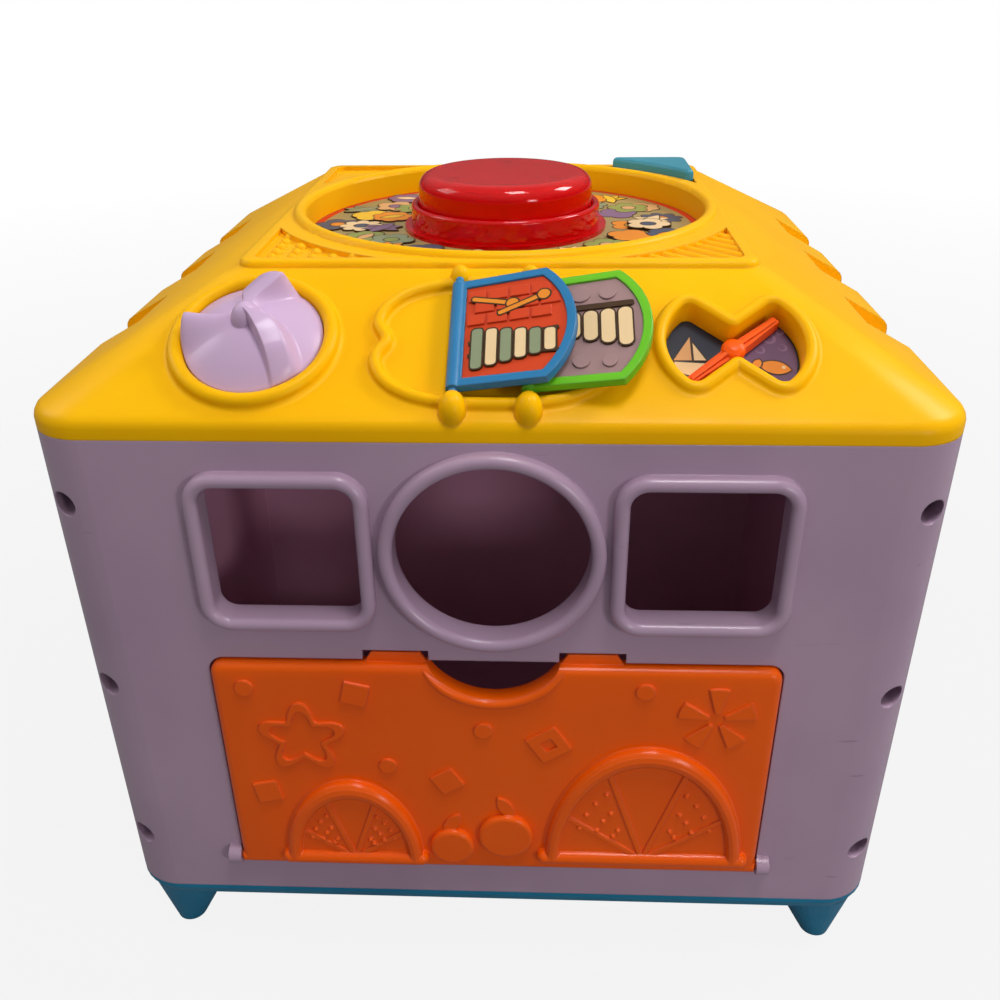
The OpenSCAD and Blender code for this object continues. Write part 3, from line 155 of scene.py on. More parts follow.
def noise(tree, space, **sockets):
    made = addNode(tree, "ShaderNodeTexNoise", **sockets)
    tree.links.new(space, made.inputs["Vector"])
    return made.outputs["Fac"]


def ramp(tree, value, *stops):  # two stops of place and colour
    made = addNode(tree, "ShaderNodeValToRGB")
    for stop, (place, colour) in zip(made.color_ramp.elements, stops):
        stop.position = place
        stop.color = (*colour, 1)
    tree.links.new(value, made.inputs["Fac"])
    return made.outputs["Color"]


def mapRange(tree, value, low, high, toLow, toHigh):
    made = addNode(tree, "ShaderNodeMapRange", From_Min=low, From_Max=high, To_Min=toLow, To_Max=toHigh)
    tree.links.new(value, made.inputs["Value"])
    return made.outputs["Result"]


def layOver(tree, ground, colour, amount):
    made = addNode(tree, "ShaderNodeMix")
    made.data_type = "RGBA"
    made.inputs["B"].default_value = (*colour, 1)
    tree.links.new(ground, made.inputs["A"])
    tree.links.new(amount, made.inputs["Factor"])
    return made.outputs["Result"]


def combine(tree, operation, first, second):  # the second may be a plain number
    made = addNode(tree, "ShaderNodeMath")
    made.operation = operation
    tree.links.new(first, made.inputs[0])
    if isinstance(second, float):
        made.inputs[1].default_value = second
    else:
        tree.links.new(second, made.inputs[1])
    return made.outputs["Value"]


def bump(tree, height, strength, deep, normal=None):
    made = addNode(tree, "ShaderNodeBump", Strength=strength, Distance=deep * mm)
    tree.links.new(height, made.inputs["Height"])
    if normal is not None:
        tree.links.new(normal, made.inputs["Normal"])
    return made.outputs["Normal"]


# what a finish has where its own look says nothing, lengths in mm
usualLook = {
    "driftScale": 14.0, "driftFrom": 0.32, "driftTo": 0.62,
    "markTurn": (0.4, 0.7, 0.5), "markScale": (30, 150, 240),
    "markFrom": 0.735, "markTo": 0.765, "markWeight": 0.25,
    "edge": 0.7, "edgeSamples": 4, "rubFrom": 1.0, "rubTo": 0.8, "rub": 0.08, "rubPale": 0.5,
    "glossScale": 90.0, "glossFrom": 0.3, "glossTo": 0.75, "roughSpread": 0.1,
    "waveScale": 55.0, "wave": 0.12, "waveDeep": 1.2,
    "grainScale": 1500.0, "grain": 0.1, "grainDeep": 0.12,
    "ior": 1.5, "shine": 0.3, "clear": 0.0, "metal": 0.0,
}


def driftingColour(tree, space, look):  # slow drift of the colour through the moulding
    drift = noise(tree, space, Scale=look["driftScale"], Detail=3.0, Roughness=0.5)
    return ramp(tree, drift, (look["driftFrom"], look["shade"]), (look["driftTo"], look["colour"]))


def rubbedMarks(tree, space, look, colour):  # short marks, long in one direction
    stretch = addNode(tree, "ShaderNodeMapping", Rotation=look["markTurn"], Scale=look["markScale"])
    tree.links.new(space, stretch.inputs["Vector"])
    marks = noise(tree, stretch.outputs["Vector"], Scale=1.0, Detail=2.0, Roughness=0.6)
    edges = ramp(tree, marks, (look["markFrom"], (0, 0, 0)), (look["markTo"], (1, 1, 1)))
    amount = combine(tree, "MULTIPLY", edges, look["markWeight"])
    return layOver(tree, colour, look.get("mark", look["shade"]), amount)


def softEdges(tree, look, colour):  # rounded edges, a little paler where hands have rubbed them
    soft = addNode(tree, "ShaderNodeBevel", Radius=look["edge"] * mm)
    soft.samples = look["edgeSamples"]
    flat = addNode(tree, "ShaderNodeNewGeometry")
    meet = addNode(tree, "ShaderNodeVectorMath")
    meet.operation = "DOT_PRODUCT"
    tree.links.new(soft.outputs["Normal"], meet.inputs[0])
    tree.links.new(flat.outputs["Normal"], meet.inputs[1])
    rubbed = mapRange(tree, meet.outputs["Value"], look["rubFrom"], look["rubTo"], 0.0, look["rub"])
    pale = [look["rubPale"] + (1 - look["rubPale"]) * c for c in look["colour"]]
    return layOver(tree, colour, pale, rubbed), soft.outputs["Normal"]


def variedGloss(tree, space, look):  # gloss that varies with handling
    gloss = noise(tree, space, Scale=look["glossScale"], Detail=4.0, Roughness=0.65)
    dullest = look["rough"] + look["roughSpread"]
    return mapRange(tree, gloss, look["glossFrom"], look["glossTo"], look["rough"], dullest)


def mouldedSkin(tree, space, look, normal):  # slow waves and a fine grain
    wave = noise(tree, space, Scale=look["waveScale"], Detail=1.0)
    grain = noise(tree, space, Scale=look["grainScale"], Detail=2.0)
    waved = bump(tree, wave, look["wave"], look["waveDeep"], normal)
    return bump(tree, grain, look["grain"], look["grainDeep"], waved)


def plasticFinish(name, ownLook):
    look = {**usualLook, **ownLook}
    made = bpy.data.materials.new(name)
    made.use_nodes = True
    tree = made.node_tree
    shader = tree.nodes["Principled BSDF"].inputs
    space = addNode(tree, "ShaderNodeTexCoord").outputs["Object"]
    colour, normal = driftingColour(tree, space, look), None
    colour = rubbedMarks(tree, space, look, colour)
    if look["edge"]:
        colour, normal = softEdges(tree, look, colour)
    tree.links.new(colour, shader["Base Color"])
    tree.links.new(variedGloss(tree, space, look), shader["Roughness"])
    tree.links.new(mouldedSkin(tree, space, look, normal), shader["Normal"])
    shader["IOR"].default_value = look["ior"]
    shader["Specular IOR Level"].default_value = look["shine"]
    shader["Transmission Weight"].default_value = look["clear"]
    shader["Metallic"].default_value = look["metal"]
    return made


def fromScreen(r, g, b):  # a colour as seen on screen, in linear light
    parts = (r / 255, g / 255, b / 255)
    return tuple(c / 12.92 if c <= 0.04045 else ((c + 0.055) / 1.055) ** 2.4 for c in parts)


def paint(colour, shade, rough, **more):  # a screen colour, the shade it drifts to, and what else is its own
    return {"colour": fromScreen(*colour), "shade": fromScreen(*shade), "rough": rough, **more}


def printInk(colour, shade):
    return paint(colour, shade, 0.4, edge=0)


looks = {
    "lilac": paint((184, 155, 178), (175, 146, 170), 0.24, mark=fromScreen(70, 55, 70),
                   roughSpread=0.02, shine=0.45, wave=0.06),
    # painted shade: the bin is the same lilac plastic as the panels, made pinker so that its unlit inside
    # shows a reddish tint
    "bin": paint((206, 148, 176), (196, 138, 166), 0.24, roughSpread=0.02, shine=0.45),
    "knob": paint((205, 174, 206), (203, 172, 205), 0.24, roughSpread=0.02, markWeight=0.0, edge=0,
                  wave=0.02, grain=0.03),
    "yellow": paint((252, 188, 2), (249, 181, 1), 0.3, markWeight=0.0, shine=0.1, wave=0.03, grain=0.05),
    "orange": paint((252, 98, 1), (248, 92, 0), 0.2, roughSpread=0.03, markWeight=0.0, shine=0.28, wave=0.04),
    "teal": paint((24, 130, 168), (16, 116, 156), 0.36, mark=fromScreen(10, 60, 80)),
    "tealKey": paint((64, 148, 166), (52, 134, 156), 0.3),
    "red": paint((246, 6, 8), (238, 4, 6), 0.07, roughSpread=0.05, markWeight=0.0, edge=0,
                 wave=0.03, grain=0.0, clear=0.5, ior=1.45),
    "blue": paint((44, 126, 176), (38, 116, 166), 0.28, edge=1.0),
    "green": paint((112, 198, 34), (102, 188, 28), 0.28, edge=1.0),
    "pointer": paint((254, 100, 4), (250, 90, 2), 0.28, shine=0.2),
    "brickPrint": paint((218, 72, 22), (206, 60, 16), 0.4, edge=0.25),
    "bubblePrint": paint((168, 136, 132), (158, 124, 124), 0.4, edge=0.25),
    "darkPrint": paint((42, 50, 66), (34, 42, 58), 0.4, edge=0.25),
    "discPrint": paint((178, 154, 96), (150, 134, 90), 0.4, edge=0.25),
    "steel": paint((150, 152, 156), (130, 132, 138), 0.28, metal=1.0, edge=0.3),
    "white": paint((226, 224, 218), (216, 214, 208), 0.4),
    "board": paint((46, 122, 70), (38, 108, 60), 0.4),
    "black": paint((38, 38, 42), (30, 30, 34), 0.4),
    "lamp": paint((240, 238, 228), (232, 230, 220), 0.1, clear=0.7),
    "cell": paint((58, 60, 66), (48, 50, 56), 0.32),
    "redLead": paint((176, 34, 34), (160, 26, 26), 0.45),
    "brownInk": printInk((70, 45, 16), (62, 38, 12)),
    "creamInk": printInk((238, 208, 160), (230, 198, 148)),
    "sageInk": printInk((142, 152, 118), (132, 142, 108)),
    "orangeInk": printInk((236, 148, 40), (228, 134, 32)),
    "purpleInk": printInk((112, 82, 112), (100, 72, 102)),
    "mauveInk": printInk((138, 108, 138), (126, 96, 126)),
    "slateInk": printInk((78, 88, 106), (66, 76, 96)),
    "tanInk": printInk((222, 172, 116), (212, 160, 104)),
    "yellowInk": printInk((240, 196, 60), (232, 184, 48)),
    "leafInk": printInk((150, 158, 84), (138, 146, 74)),
    "redInk": printInk((206, 52, 24), (194, 42, 18)),
}
finishes = {key: plasticFinish(key, look) for key, look in looks.items()}
print("finishes made:", len(finishes))

# every CAD node gets its finish, also those that stay inside
nodeFinish = {
    "lilac": ["front_panel", "rear_panel", "left_panel", "right_panel"],
    # the bin's pinker finish is painted reddish shade for its dim inside
    "bin": ["sorter_bin"],
    "knob": ["bow_knob"],
    "yellow": ["top_cover"],
    "orange": ["bin_door"],
    "teal": ["base_tray", "battery_cover"],
    "tealKey": ["corner_button"],
    "red": ["button_cap", "button_collar"],
    "blue": ["blue_page_frame"],
    "green": ["green_page_frame"],
    "pointer": ["pointer"],
    "brickPrint": ["blue_page_insert"],
    "bubblePrint": ["green_page_insert"],
    "darkPrint": ["window_card"],
    "discPrint": ["well_disc"],
    "steel": ["panel_screws", "base_screws", "cover_screws", "bin_screws", "plate_screws", "board_screws",
              "speaker_screws", "knob_washer", "knob_screw", "pointer_washer", "pointer_screw",
              "corner_washer", "corner_screw", "button_spring", "corner_spring", "battery_contacts",
              "battery_cover_screw"],
    "white": ["button_plate", "lamp_holder", "speaker_clamp"],
    "board": ["circuit_board"],
    "black": ["press_switches", "loudspeaker", "speaker_lead"],
    "lamp": ["lamp"],
    "cell": ["battery_cells"],
    "redLead": ["battery_lead"],
}
for key, names in nodeFinish.items():
    for name in names:
        nodes[name].data.materials.clear()
        nodes[name].data.materials.append(finishes[key])

# outlines and sweeps, drawn flat in millimetres
drawing = {"slabRounds": 3, "bulbSides": 40, "bulbRings": 24, "barSteps": 6, "leafSteps": 12,
           "crownSteps": 8, "footSteps": 6, "dotSteps": 32, "taperTip": 0.3, "taperCurve": 0.6,
           "rodEnd": 0.999, "petalCurve": 0.7}


def flatCurve(name, outlines, closed=True, dims="2D"):
    curve = bpy.data.curves.new(name, "CURVE")
    curve.dimensions = dims
    for outline in outlines:
        spline = curve.splines.new("POLY")
        spline.points.add(len(outline) - 1)
        for point, (x, y) in zip(spline.points, outline):
            point.co = (x * mm, y * mm, 0, 1)
        spline.use_cyclic_u = closed
    return newObject(name, curve)


def toMesh(obj):
    pickOnly(obj)
    bpy.ops.object.convert(target="MESH")
    return bpy.context.object


# a profile drawn along a flat path, its X outward and its Y up
def sweep(name, path, profile, closed=True, taper=0):
    rail = flatCurve(name, [path], closed, "3D")
    section = flatCurve(name + "Section", [profile], False)
    rail.data.twist_mode = "Z_UP"
    rail.data.bevel_mode = "OBJECT"
    rail.data.bevel_object = section
    if taper:  # the ends thin out over this many points
        for k, point in enumerate(rail.data.splines[0].points):
            fromEnd = min(k, len(path) - 1 - k) + drawing["taperTip"]
            point.radius = min(1.0, fromEnd / taper) ** drawing["taperCurve"]
    made = toMesh(rail)
    bpy.data.objects.remove(section)
    smoothShade(made, crease["sweep"])
    return made


def slab(name, outlines, high, soft=0.0, low=0.0):  # a flat shape from low to high with softened edges
    shape = flatCurve(name, outlines)
    shape.data.fill_mode = "BOTH"
    shape.data.bevel_depth = soft * mm
    shape.data.bevel_resolution = drawing["slabRounds"]
    shape.data.offset = -soft * mm
    shape.data.extrude = ((high - low) / 2 - soft) * mm
    made = toMesh(shape)
    settle(made, Matrix.Translation((0, 0, (low + high) / 2 * mm)))
    smoothShade(made, crease["slab"])
    return made


def bulb(name, size, place):  # a rounded lump, half sunk in its ground
    deselect()
    sides, rings = drawing["bulbSides"], drawing["bulbRings"]
    bpy.ops.mesh.primitive_uv_sphere_add(segments=sides, ring_count=rings, radius=1)
    made = bpy.context.object
    made.name = name
    made.scale = [part * mm for part in size]
    bpy.context.view_layer.update()
    settle(made, place)
    smoothShade(made, crease["bulb"])
    return made


def arc(cx, cy, r, start, end, steps=24):
    turns = [math.radians(start + (end - start) * k / steps) for k in range(steps + 1)]
    return [(cx + r * math.cos(a), cy + r * math.sin(a)) for a in turns]


def ring(cx, cy, r, steps=drawing["dotSteps"]):
    return arc(cx, cy, r, 0, 360 * (steps - 1) / steps, steps - 1)


def turned(points, cx, cy, degrees):
    c, s = math.cos(math.radians(degrees)), math.sin(math.radians(degrees))
    return [(cx + c * x - s * y, cy + s * x + c * y) for x, y in points]


def bar(cx, cy, wide, high, r, turn=0):
    w, h, steps = wide / 2 - r, high / 2 - r, drawing["barSteps"]
    corners = [(w, h), (-w, h), (-w, -h), (w, -h)]
    rounds = [arc(x, y, r, 90 * k, 90 * k + 90, steps) for k, (x, y) in enumerate(corners)]
    return turned(sum(rounds, []), cx, cy, turn)


def rod(x0, y0, x1, y1, r):
    long = math.hypot(x1 - x0, y1 - y0) + 2 * r
    way = math.degrees(math.atan2(y1 - y0, x1 - x0))
    return bar((x0 + x1) / 2, (y0 + y1) / 2, long, 2 * r, r * drawing["rodEnd"], way)


def petals(cx, cy, r, count, depth, turn=0, steps=96):
    turns = [2 * math.pi * k / steps for k in range(steps)]
    reach = [r * (1 - depth + depth * abs(math.cos(count * a / 2)) ** drawing["petalCurve"]) for a in turns]
    return turned([(d * math.cos(a), d * math.sin(a)) for d, a in zip(reach, turns)], cx, cy, turn)


def leaf(cx, cy, length, wide, turn=0):
    half, r, steps = length / 2, (length ** 2 / 4 + wide ** 2 / 4) / wide, drawing["leafSteps"]
    spread = math.degrees(math.asin(half / r))
    upper = arc(0, wide / 2 - r, r, 90 - spread, 90 + spread, steps)
    lower = arc(0, r - wide / 2, r, 270 - spread, 270 + spread, steps)
    return turned(upper + lower[1:-1], cx, cy, turn)


def ridgeSide(width, height, foot):  # half of a rounded ridge, from its crown out to its filleted foot
    crown = width / 2
    rise = height - crown
    out = math.sqrt((crown + foot) ** 2 - (foot - rise) ** 2)
    meet = math.degrees(math.atan2(foot - rise, out))
    top = arc(0, rise, crown, 90, meet, drawing["crownSteps"])
    return top + arc(out, foot, foot, 180 + meet, 270, drawing["footSteps"])[1:]


def ridge(width, height, foot):
    half = ridgeSide(width, height, foot)
    return [(-x, y) for x, y in reversed(half)] + half[1:]


def wallRidge(width, height, foot, drop):  # a ridge whose inner side falls straight down
    half = ridgeSide(width, height, foot)
    crown = half[:drawing["crownSteps"] + 1]
    return [(-width / 2, -drop)] + [(-x, y) for x, y in reversed(crown)] + half[1:]


# outlines for printing: each takes how far the dark line round it stands out

def growingBar(x, y, wide, long, corner):
    return lambda g: bar(x, y, wide + 2 * g, long + 2 * g, corner + g)


def growingLeaf(x, y, long, wide, turn):
    return lambda g: leaf(x, y, long + 2 * g, wide + 2 * g, turn)


def growingPetals(x, y, turn, r, count, depth):
    return lambda g: petals(x, y, r + g, count, depth, turn)


def growingRing(x, y, r):
    return lambda g: ring(x, y, r + g)


def still(outline):  # a shape that has no line
    return lambda g: outline


# printed pictures: thin shapes in layers, as (ink, outline, width of the dark line round it)
printPlan = {"step": 0.012, "lineShare": 0.6, "lineInk": "brownInk", "sink": 0.03}


def layPrint(name, shapes, place, body, slot, base, sink=printPlan["sink"]):
    step, layers = printPlan["step"], {}
    for count, (ink, outline, line) in enumerate(shapes):
        low = base + step * count
        if line:
            edge = slab(name, [outline(line)], low + step * printPlan["lineShare"], low=base - sink)
            layers.setdefault(printPlan["lineInk"], []).append(edge)
        layers.setdefault(ink, []).append(slab(name, [outline(0)], low + step, low=base - sink))
    for ink, pieces in layers.items():
        layer = joinInto(pieces[0], pieces[1:]) if len(pieces) > 1 else pieces[0]
        layer.name = name + ink[0].upper() + ink[1:]
        settle(layer, place)
        dress(layer, body, slot, finishes[ink])


# top cover: the solid's square-edged ridges are taken off and swept again with rounded crowns
coverPlan = {
    "bezelX": slopePlan["knobX"], "bezelR": 25.9, "bezelSteps": 96,
    "bezelWide": 5.1, "bezelHigh": 4.05, "bezelFoot": 2.2, "bezelDrop": 1.0,
    "bookWide": 41.3, "bookLong": 28.3, "bookCurve": 2.8, "bookSteps": 360,
    "bookNotch": 4.0, "bookNotchWide": 5.0,
    "ridgeWide": 4.2, "ridgeHigh": 3.1, "ridgeFoot": 1.6,
    "tieX": slopePlan["windowX"], "tieR": 22.4, "tieWaist": 5.6, "tieCorner": 3.0,
    "tieAngle": 41.0, "tieStart": 2, "tieSteps": (14, 10, 8),
    "rimWide": 4.4, "rimHigh": 2.6, "rimFoot": 1.8, "rimDrop": 8.0,
    "bookField": 46, "tieField": 30, "fieldLong": 34, "cutAbove": 0.15, "cutBelow": -9,
    "knuckleX": slopePlan["hingeX"], "knuckleY": 28.1,
    "knuckleFront": (4.6, 5.9, 7.2), "knuckleBack": (3.9, 4.6, 6.2),
}


def bookPath(plan, inset):
    def bulge(part, half):  # a rounded rectangle's reach for one part of the turn
        return (half - inset) * math.copysign(abs(part) ** (2 / plan["bookCurve"]), part)

    points = []
    for k in range(plan["bookSteps"]):
        a = 2 * math.pi * (k + 0.5) / plan["bookSteps"]
        x, y = bulge(math.cos(a), plan["bookWide"]), bulge(math.sin(a), plan["bookLong"])
        notch = plan["bookNotch"] * math.exp(-(y / plan["bookNotchWide"]) ** 2)
        points.append((x - math.copysign(notch, x), y))
    return points


def tiePath(plan):
    angle, corner, waist = plan["tieAngle"], plan["tieCorner"], plan["tieWaist"]
    c, s = math.cos(math.radians(angle)), math.sin(math.radians(angle))
    reach = waist * c - corner
    along = math.sqrt((plan["tieR"] - corner) ** 2 - reach ** 2)
    cx, cy = along * c - reach * s, along * s + reach * c
    swing = math.degrees(math.atan2(cy, cx))
    endSteps, cornerSteps, waistSteps = plan["tieSteps"]
    quarter = arc(0, 0, plan["tieR"], plan["tieStart"], swing, endSteps)
    quarter += arc(cx, cy, corner, swing, 90 + angle, cornerSteps)[1:]
    quarter += arc(0, waist + corner / c, corner, angle - 90, -90, waistSteps)
    upper = quarter + [(-x, y) for x, y in reversed(quarter[:-1])]
    return upper + [(-x, -y) for x, y in upper]


def buildCover(plan):
    cover = cadCopy("top_cover", "topCover")
    toSlope = onSlope(0).inverted()
    spots = [toSlope @ vert.co / mm for vert in cover.data.vertices]
    book, tie = plan["bookField"], plan["tieField"]
    fields = [(-book, book), (plan["tieX"] - tie, plan["tieX"] + tie)]

    def onRidge(face):
        own = [spots[k] for k in face.vertices]
        (left, right), (front, back), (low, high) = (span(own, axis) for axis in range(3))
        inField = any(start < left and right < end for start, end in fields)
        inField = inField and -plan["fieldLong"] < front and back < plan["fieldLong"]
        return inField and high > plan["cutAbove"] and low > plan["cutBelow"]

    deleteFaces(cover, onRidge)
    bezel = wallRidge(plan["bezelWide"], plan["bezelHigh"], plan["bezelFoot"], plan["bezelDrop"])
    bookRidge = ridge(plan["ridgeWide"], plan["ridgeHigh"], plan["ridgeFoot"])
    tieRim = wallRidge(plan["rimWide"], plan["rimHigh"], plan["rimFoot"], plan["rimDrop"])
    tieRim = [(x + plan["rimWide"] / 2, y) for x, y in tieRim]  # its inner side is the opening's wall
    extras = [sweep("bezel", ring(0, 0, plan["bezelR"], plan["bezelSteps"]), bezel),
              sweep("bookRidge", bookPath(plan, plan["ridgeWide"] / 2), bookRidge),
              sweep("tieRim", tiePath(plan), tieRim)]
    for made, x in zip(extras, (plan["bezelX"], 0, plan["tieX"])):
        settle(made, onSlope(x))
    for x in (-plan["knuckleX"], plan["knuckleX"]):
        for y in (-plan["knuckleY"], plan["knuckleY"]):
            extras.append(bulb("knuckle", plan["knuckleFront" if y < 0 else "knuckleBack"], onSlope(x, y)))
    joinInto(cover, extras)
    return dress(cover, "cube", "yellow_plastic", finishes["yellow"], "top_cover")


buildCover(coverPlan)
print("top cover swept")


# turning knob: a domed disc with a ribbon tied over it
knobPlan = {
    "x": slopePlan["knobX"], "radius": 22.9, "skirt": 1.008, "skirtDrop": 0.35, "rim": 2.0, "crown": 8.0,
    "low": -4.6, "shaft": 4.0, "end": -13.4, "rings": 130, "steps": 520,
    "knot": (-1.0, 2.2), "knotSize": (5.4, 4.7), "knotTurn": 60.0, "knotLow": 8.0, "knotHigh": 7.4,
    "loopStart": 2, "blend": 6, "edgeWide": 2.5, "edgeLoss": 0.35,
}
# the loops' lists pair a distance from the knot with a height or a place across,
# the tail's list pairs its course with a height
ribbonPlan = {
    "leftSlant": 0.05, "leftCrest": [(0, 10.4), (6, 10.5), (13, 10.4), (20, 11.0), (24, 10.8)],
    "leftBack": 1.5, "leftFront": 3.0, "leftSpread": 0.55, "leftCurve": 1.2,
    "upperWay": (0.33, 0.944), "upperTop": [(0, 10.8), (6.6, 11.0), (19.4, 12.8), (24, 12.8)],
    "upperRidge": [(0, 0.0), (6.6, -0.4), (19.4, 3.8), (24, 4.6)],
    "upperLeft": [(0, -4.0), (5, -4.4), (12.8, -8.4), (19.8, -5.6), (24, -3.0)],
    "upperRight": [(0, 2.4), (6, 2.6), (18.5, 8.0), (24, 9.0)],
    "upperFall": 0.045, "upperInset": 0.6, "upperBack": 1.3, "upperCurve": 1.6,
    "tail": (knobPlan["knot"], (11.8, -0.4), (15.0, -24.0)), "tailEnd": 1.15, "tailTries": 26,
    "tailWide": 2.2, "tailWiden": 3.9, "tailWidest": 0.55, "tailFront": 1.8, "tailBack": 4.4,
    "tailLift": [(0, 5.4), (0.35, 5.2), (0.62, 4.6), (0.95, 1.2), (1.15, 0.3)],
}


def fade(t):
    t = min(max(t, 0.0), 1.0)
    return 1 - t * t * (3 - 2 * t)


def between(points, p):  # the value at p, eased from one (place, value) pair to the next
    for (p0, v0), (p1, v1) in zip(points, points[1:]):
        if p <= p1:
            return v1 + (v0 - v1) * fade((p - p0) / (p1 - p0))
    return points[-1][1]


def leftLoop(bow, dome, du, dv):  # a crest with a steep back and a long soft front
    p, q = -du, bow["leftSlant"] * -du - dv
    if p <= 0:
        return 0.0
    crest = max(between(bow["leftCrest"], p) - dome, 0.0)
    if q < 0:
        return crest * fade(-q / bow["leftBack"])
    return crest * fade(q / (bow["leftFront"] + bow["leftSpread"] * p)) ** bow["leftCurve"]


def upperLoop(bow, dome, du, dv):  # a slanted face on the left of its ridge, a hollow one on the right
    across, along = bow["upperWay"]
    p, q = across * du + along * dv, along * du - across * dv
    if p <= 0:
        return 0.0
    line, top = between(bow["upperRidge"], p), between(bow["upperTop"], p)
    if q < line:
        face = top - bow["upperFall"] * (line - q) ** 2 - dome
        past = between(bow["upperLeft"], p) + bow["upperInset"] - q
        return max(face, 0.0) * fade(past / bow["upperBack"])
    t = min((q - line) / (between(bow["upperRight"], p) - line), 1.0)
    return max(top - dome, 0.0) * (1 - t) ** bow["upperCurve"]


def tailLoop(bow, u, v):  # a thick band that bends down to the rim
    (ax, ay), (bx, by), (cx, cy) = bow["tail"]

    def course(t):  # distance to the band's middle line, and the place on it
        x = ax * (1 - t) ** 2 + 2 * bx * t * (1 - t) + cx * t * t
        y = ay * (1 - t) ** 2 + 2 * by * t * (1 - t) + cy * t * t
        return math.hypot(u - x, v - y), x, y

    low, high = 0.0, bow["tailEnd"]
    for k in range(bow["tailTries"]):  # closes in on the nearest place
        one, two = low + (high - low) / 3, high - (high - low) / 3
        low, high = (low, two) if course(one)[0] < course(two)[0] else (one, high)
    t = (low + high) / 2
    gap, x, y = course(t)
    ex, ey = (bx - ax) * (1 - t) + (cx - bx) * t, (by - ay) * (1 - t) + (cy - by) * t
    upSlope = ex * (v - y) - ey * (u - x) >= 0
    grown = min(t / bow["tailWidest"], 1.0)
    wide = bow["tailWide"] + bow["tailWiden"] * grown * (2 - grown)
    soft = bow["tailBack"] if upSlope else bow["tailFront"]
    return between(bow["tailLift"], t) * fade((gap - wide + soft) / soft)


def ribbonHeight(plan, bow, u, v):
    dome = plan["rim"] + plan["crown"] * (1 - (u * u + v * v) / plan["radius"] ** 2)
    du, dv = u - plan["knot"][0], v - plan["knot"][1]
    across, along = bow["upperWay"]
    left = leftLoop(bow, dome, du, dv) * (1 - fade(-du / plan["loopStart"]))
    upper = upperLoop(bow, dome, du, dv) * (1 - fade((across * du + along * dv) / plan["loopStart"]))
    power = plan["blend"]
    lift = sum(part ** power for part in (left, upper, tailLoop(bow, u, v))) ** (1 / power)
    edge = max(0.0, (math.hypot(u, v) - plan["radius"] + plan["edgeWide"]) / plan["edgeWide"])
    height = dome + lift * (1 - plan["edgeLoss"] * edge ** 3)
    # knot, longer across the ribbon
    c, s = math.cos(math.radians(plan["knotTurn"])), math.sin(math.radians(plan["knotTurn"]))
    long, wide = plan["knotSize"]
    swell = 1 - ((c * du + s * dv) / long) ** 2 - ((c * dv - s * du) / wide) ** 2
    if swell > 0:
        height = max(height, plan["knotLow"] + plan["knotHigh"] * math.sqrt(swell))
    return height


def buildKnob(plan, bow):
    steps, rings, skirt = plan["steps"], plan["rings"], plan["skirt"]
    turns = [2 * math.pi * k / steps for k in range(steps)]
    circle = [(math.cos(a), math.sin(a)) for a in turns]
    verts = [(0.0, 0.0, ribbonHeight(plan, bow, 0, 0))]
    for row in range(1, rings + 1):
        r = plan["radius"] * row / rings
        verts += [(r * c, r * s, ribbonHeight(plan, bow, r * c, r * s)) for c, s in circle]
    # four more rows: skirt, its lower edge, the shaft's start and its end
    verts += [(u * skirt, v * skirt, top - plan["skirtDrop"]) for u, v, top in verts[-steps:]]
    out, shaft = plan["radius"] * skirt, plan["shaft"]
    for r, z in ((out, plan["low"]), (shaft, plan["low"]), (shaft, plan["end"])):
        verts += [(r * c, r * s, z) for c, s in circle]
    faces = [(0, 1 + k, 1 + (k + 1) % steps) for k in range(steps)]
    for row in range(rings + 3):
        for k in range(steps):
            a, b = 1 + row * steps + k, 1 + row * steps + (k + 1) % steps
            faces.append((a, a + steps, b + steps, b))
    faces.append(tuple(range(len(verts) - 1, len(verts) - 1 - steps, -1)))
    mesh = bpy.data.meshes.new("bowKnobTop")
    mesh.from_pydata([[c * mm for c in vert] for vert in verts], [], faces)
    knob = newObject("bowKnobTop", mesh)
    settle(knob, onSlope(plan["x"]))
    smoothShade(knob, crease["knob"])
    return dress(knob, "bow_knob", "knob_plastic", finishes["knob"], "bow_knob")


buildKnob(knobPlan, ribbonPlan)
print("knob shaped")


# bin door: arches, berries and seeds rounded over the solid's steps, a lip on the scoop and tapered tabs
# slices and berries are given as place across, height over the foot and radius
doorPlan = {
    "frontY": -148.75, "proud": 3.5, "foot": 58.0, "high": 4.0,
    "slices": [(-55.5, 0.0, 26.5), (57.0, 2.5, 37.5)], "rise": 1.48, "tube": 2.66, "skin": 0.06,
    "archSteps": 60, "tubeSteps": 16, "berrySteps": 72, "lipSteps": 48,
    "outerFoot": [(0.5, -0.2), (0.1, 0.3)], "innerFoot": [(0.1, 0.3), (0.4, -0.2)],
    "seed": 1.0, "seedOut": 0.2, "seedTurns": (40, 140), "seedRows": 3, "seedFrom": 0.44, "seedStep": 0.2,
    "seedTurn": 11,
    "berries": [(-17.0, 7.0, 8.6), (4.0, 13.0, 10.6)], "berryDown": 1.2, "berrySoft": 1.35, "berryLow": -0.5,
    "scoopR": 26.723, "scoopZ": 163.723, "scoopTurn": 60.5, "scoopInset": 0.05,
    "lipWide": 4.0, "lipHigh": 1.5, "lipFoot": 1.6, "lipDrop": 1.2, "lipTaper": 9,
    "tabLow": 152.5, "tabTaper": 0.78,
}


def onDoor(plan, x, z, out=0.0):
    front = Matrix.Translation((0, plan["frontY"] * mm, 0)) @ Matrix.Rotation(math.pi / 2, 4, "X")
    return front @ Matrix.Translation((x * mm, z * mm, (plan["proud"] + out) * mm))


def taperTabs(plan, door):  # the tabs' ends slope in towards their tops
    tabs = [vert for vert in door.data.vertices if vert.co.z > plan["tabLow"] * mm]
    for side in (-1, 1):
        tab = [vert for vert in tabs if vert.co.x * side > 0]
        middle = sum(span([vert.co for vert in tab], 0)) / 2
        for vert in tab:
            vert.co.x = middle + (vert.co.x - middle) * plan["tabTaper"]


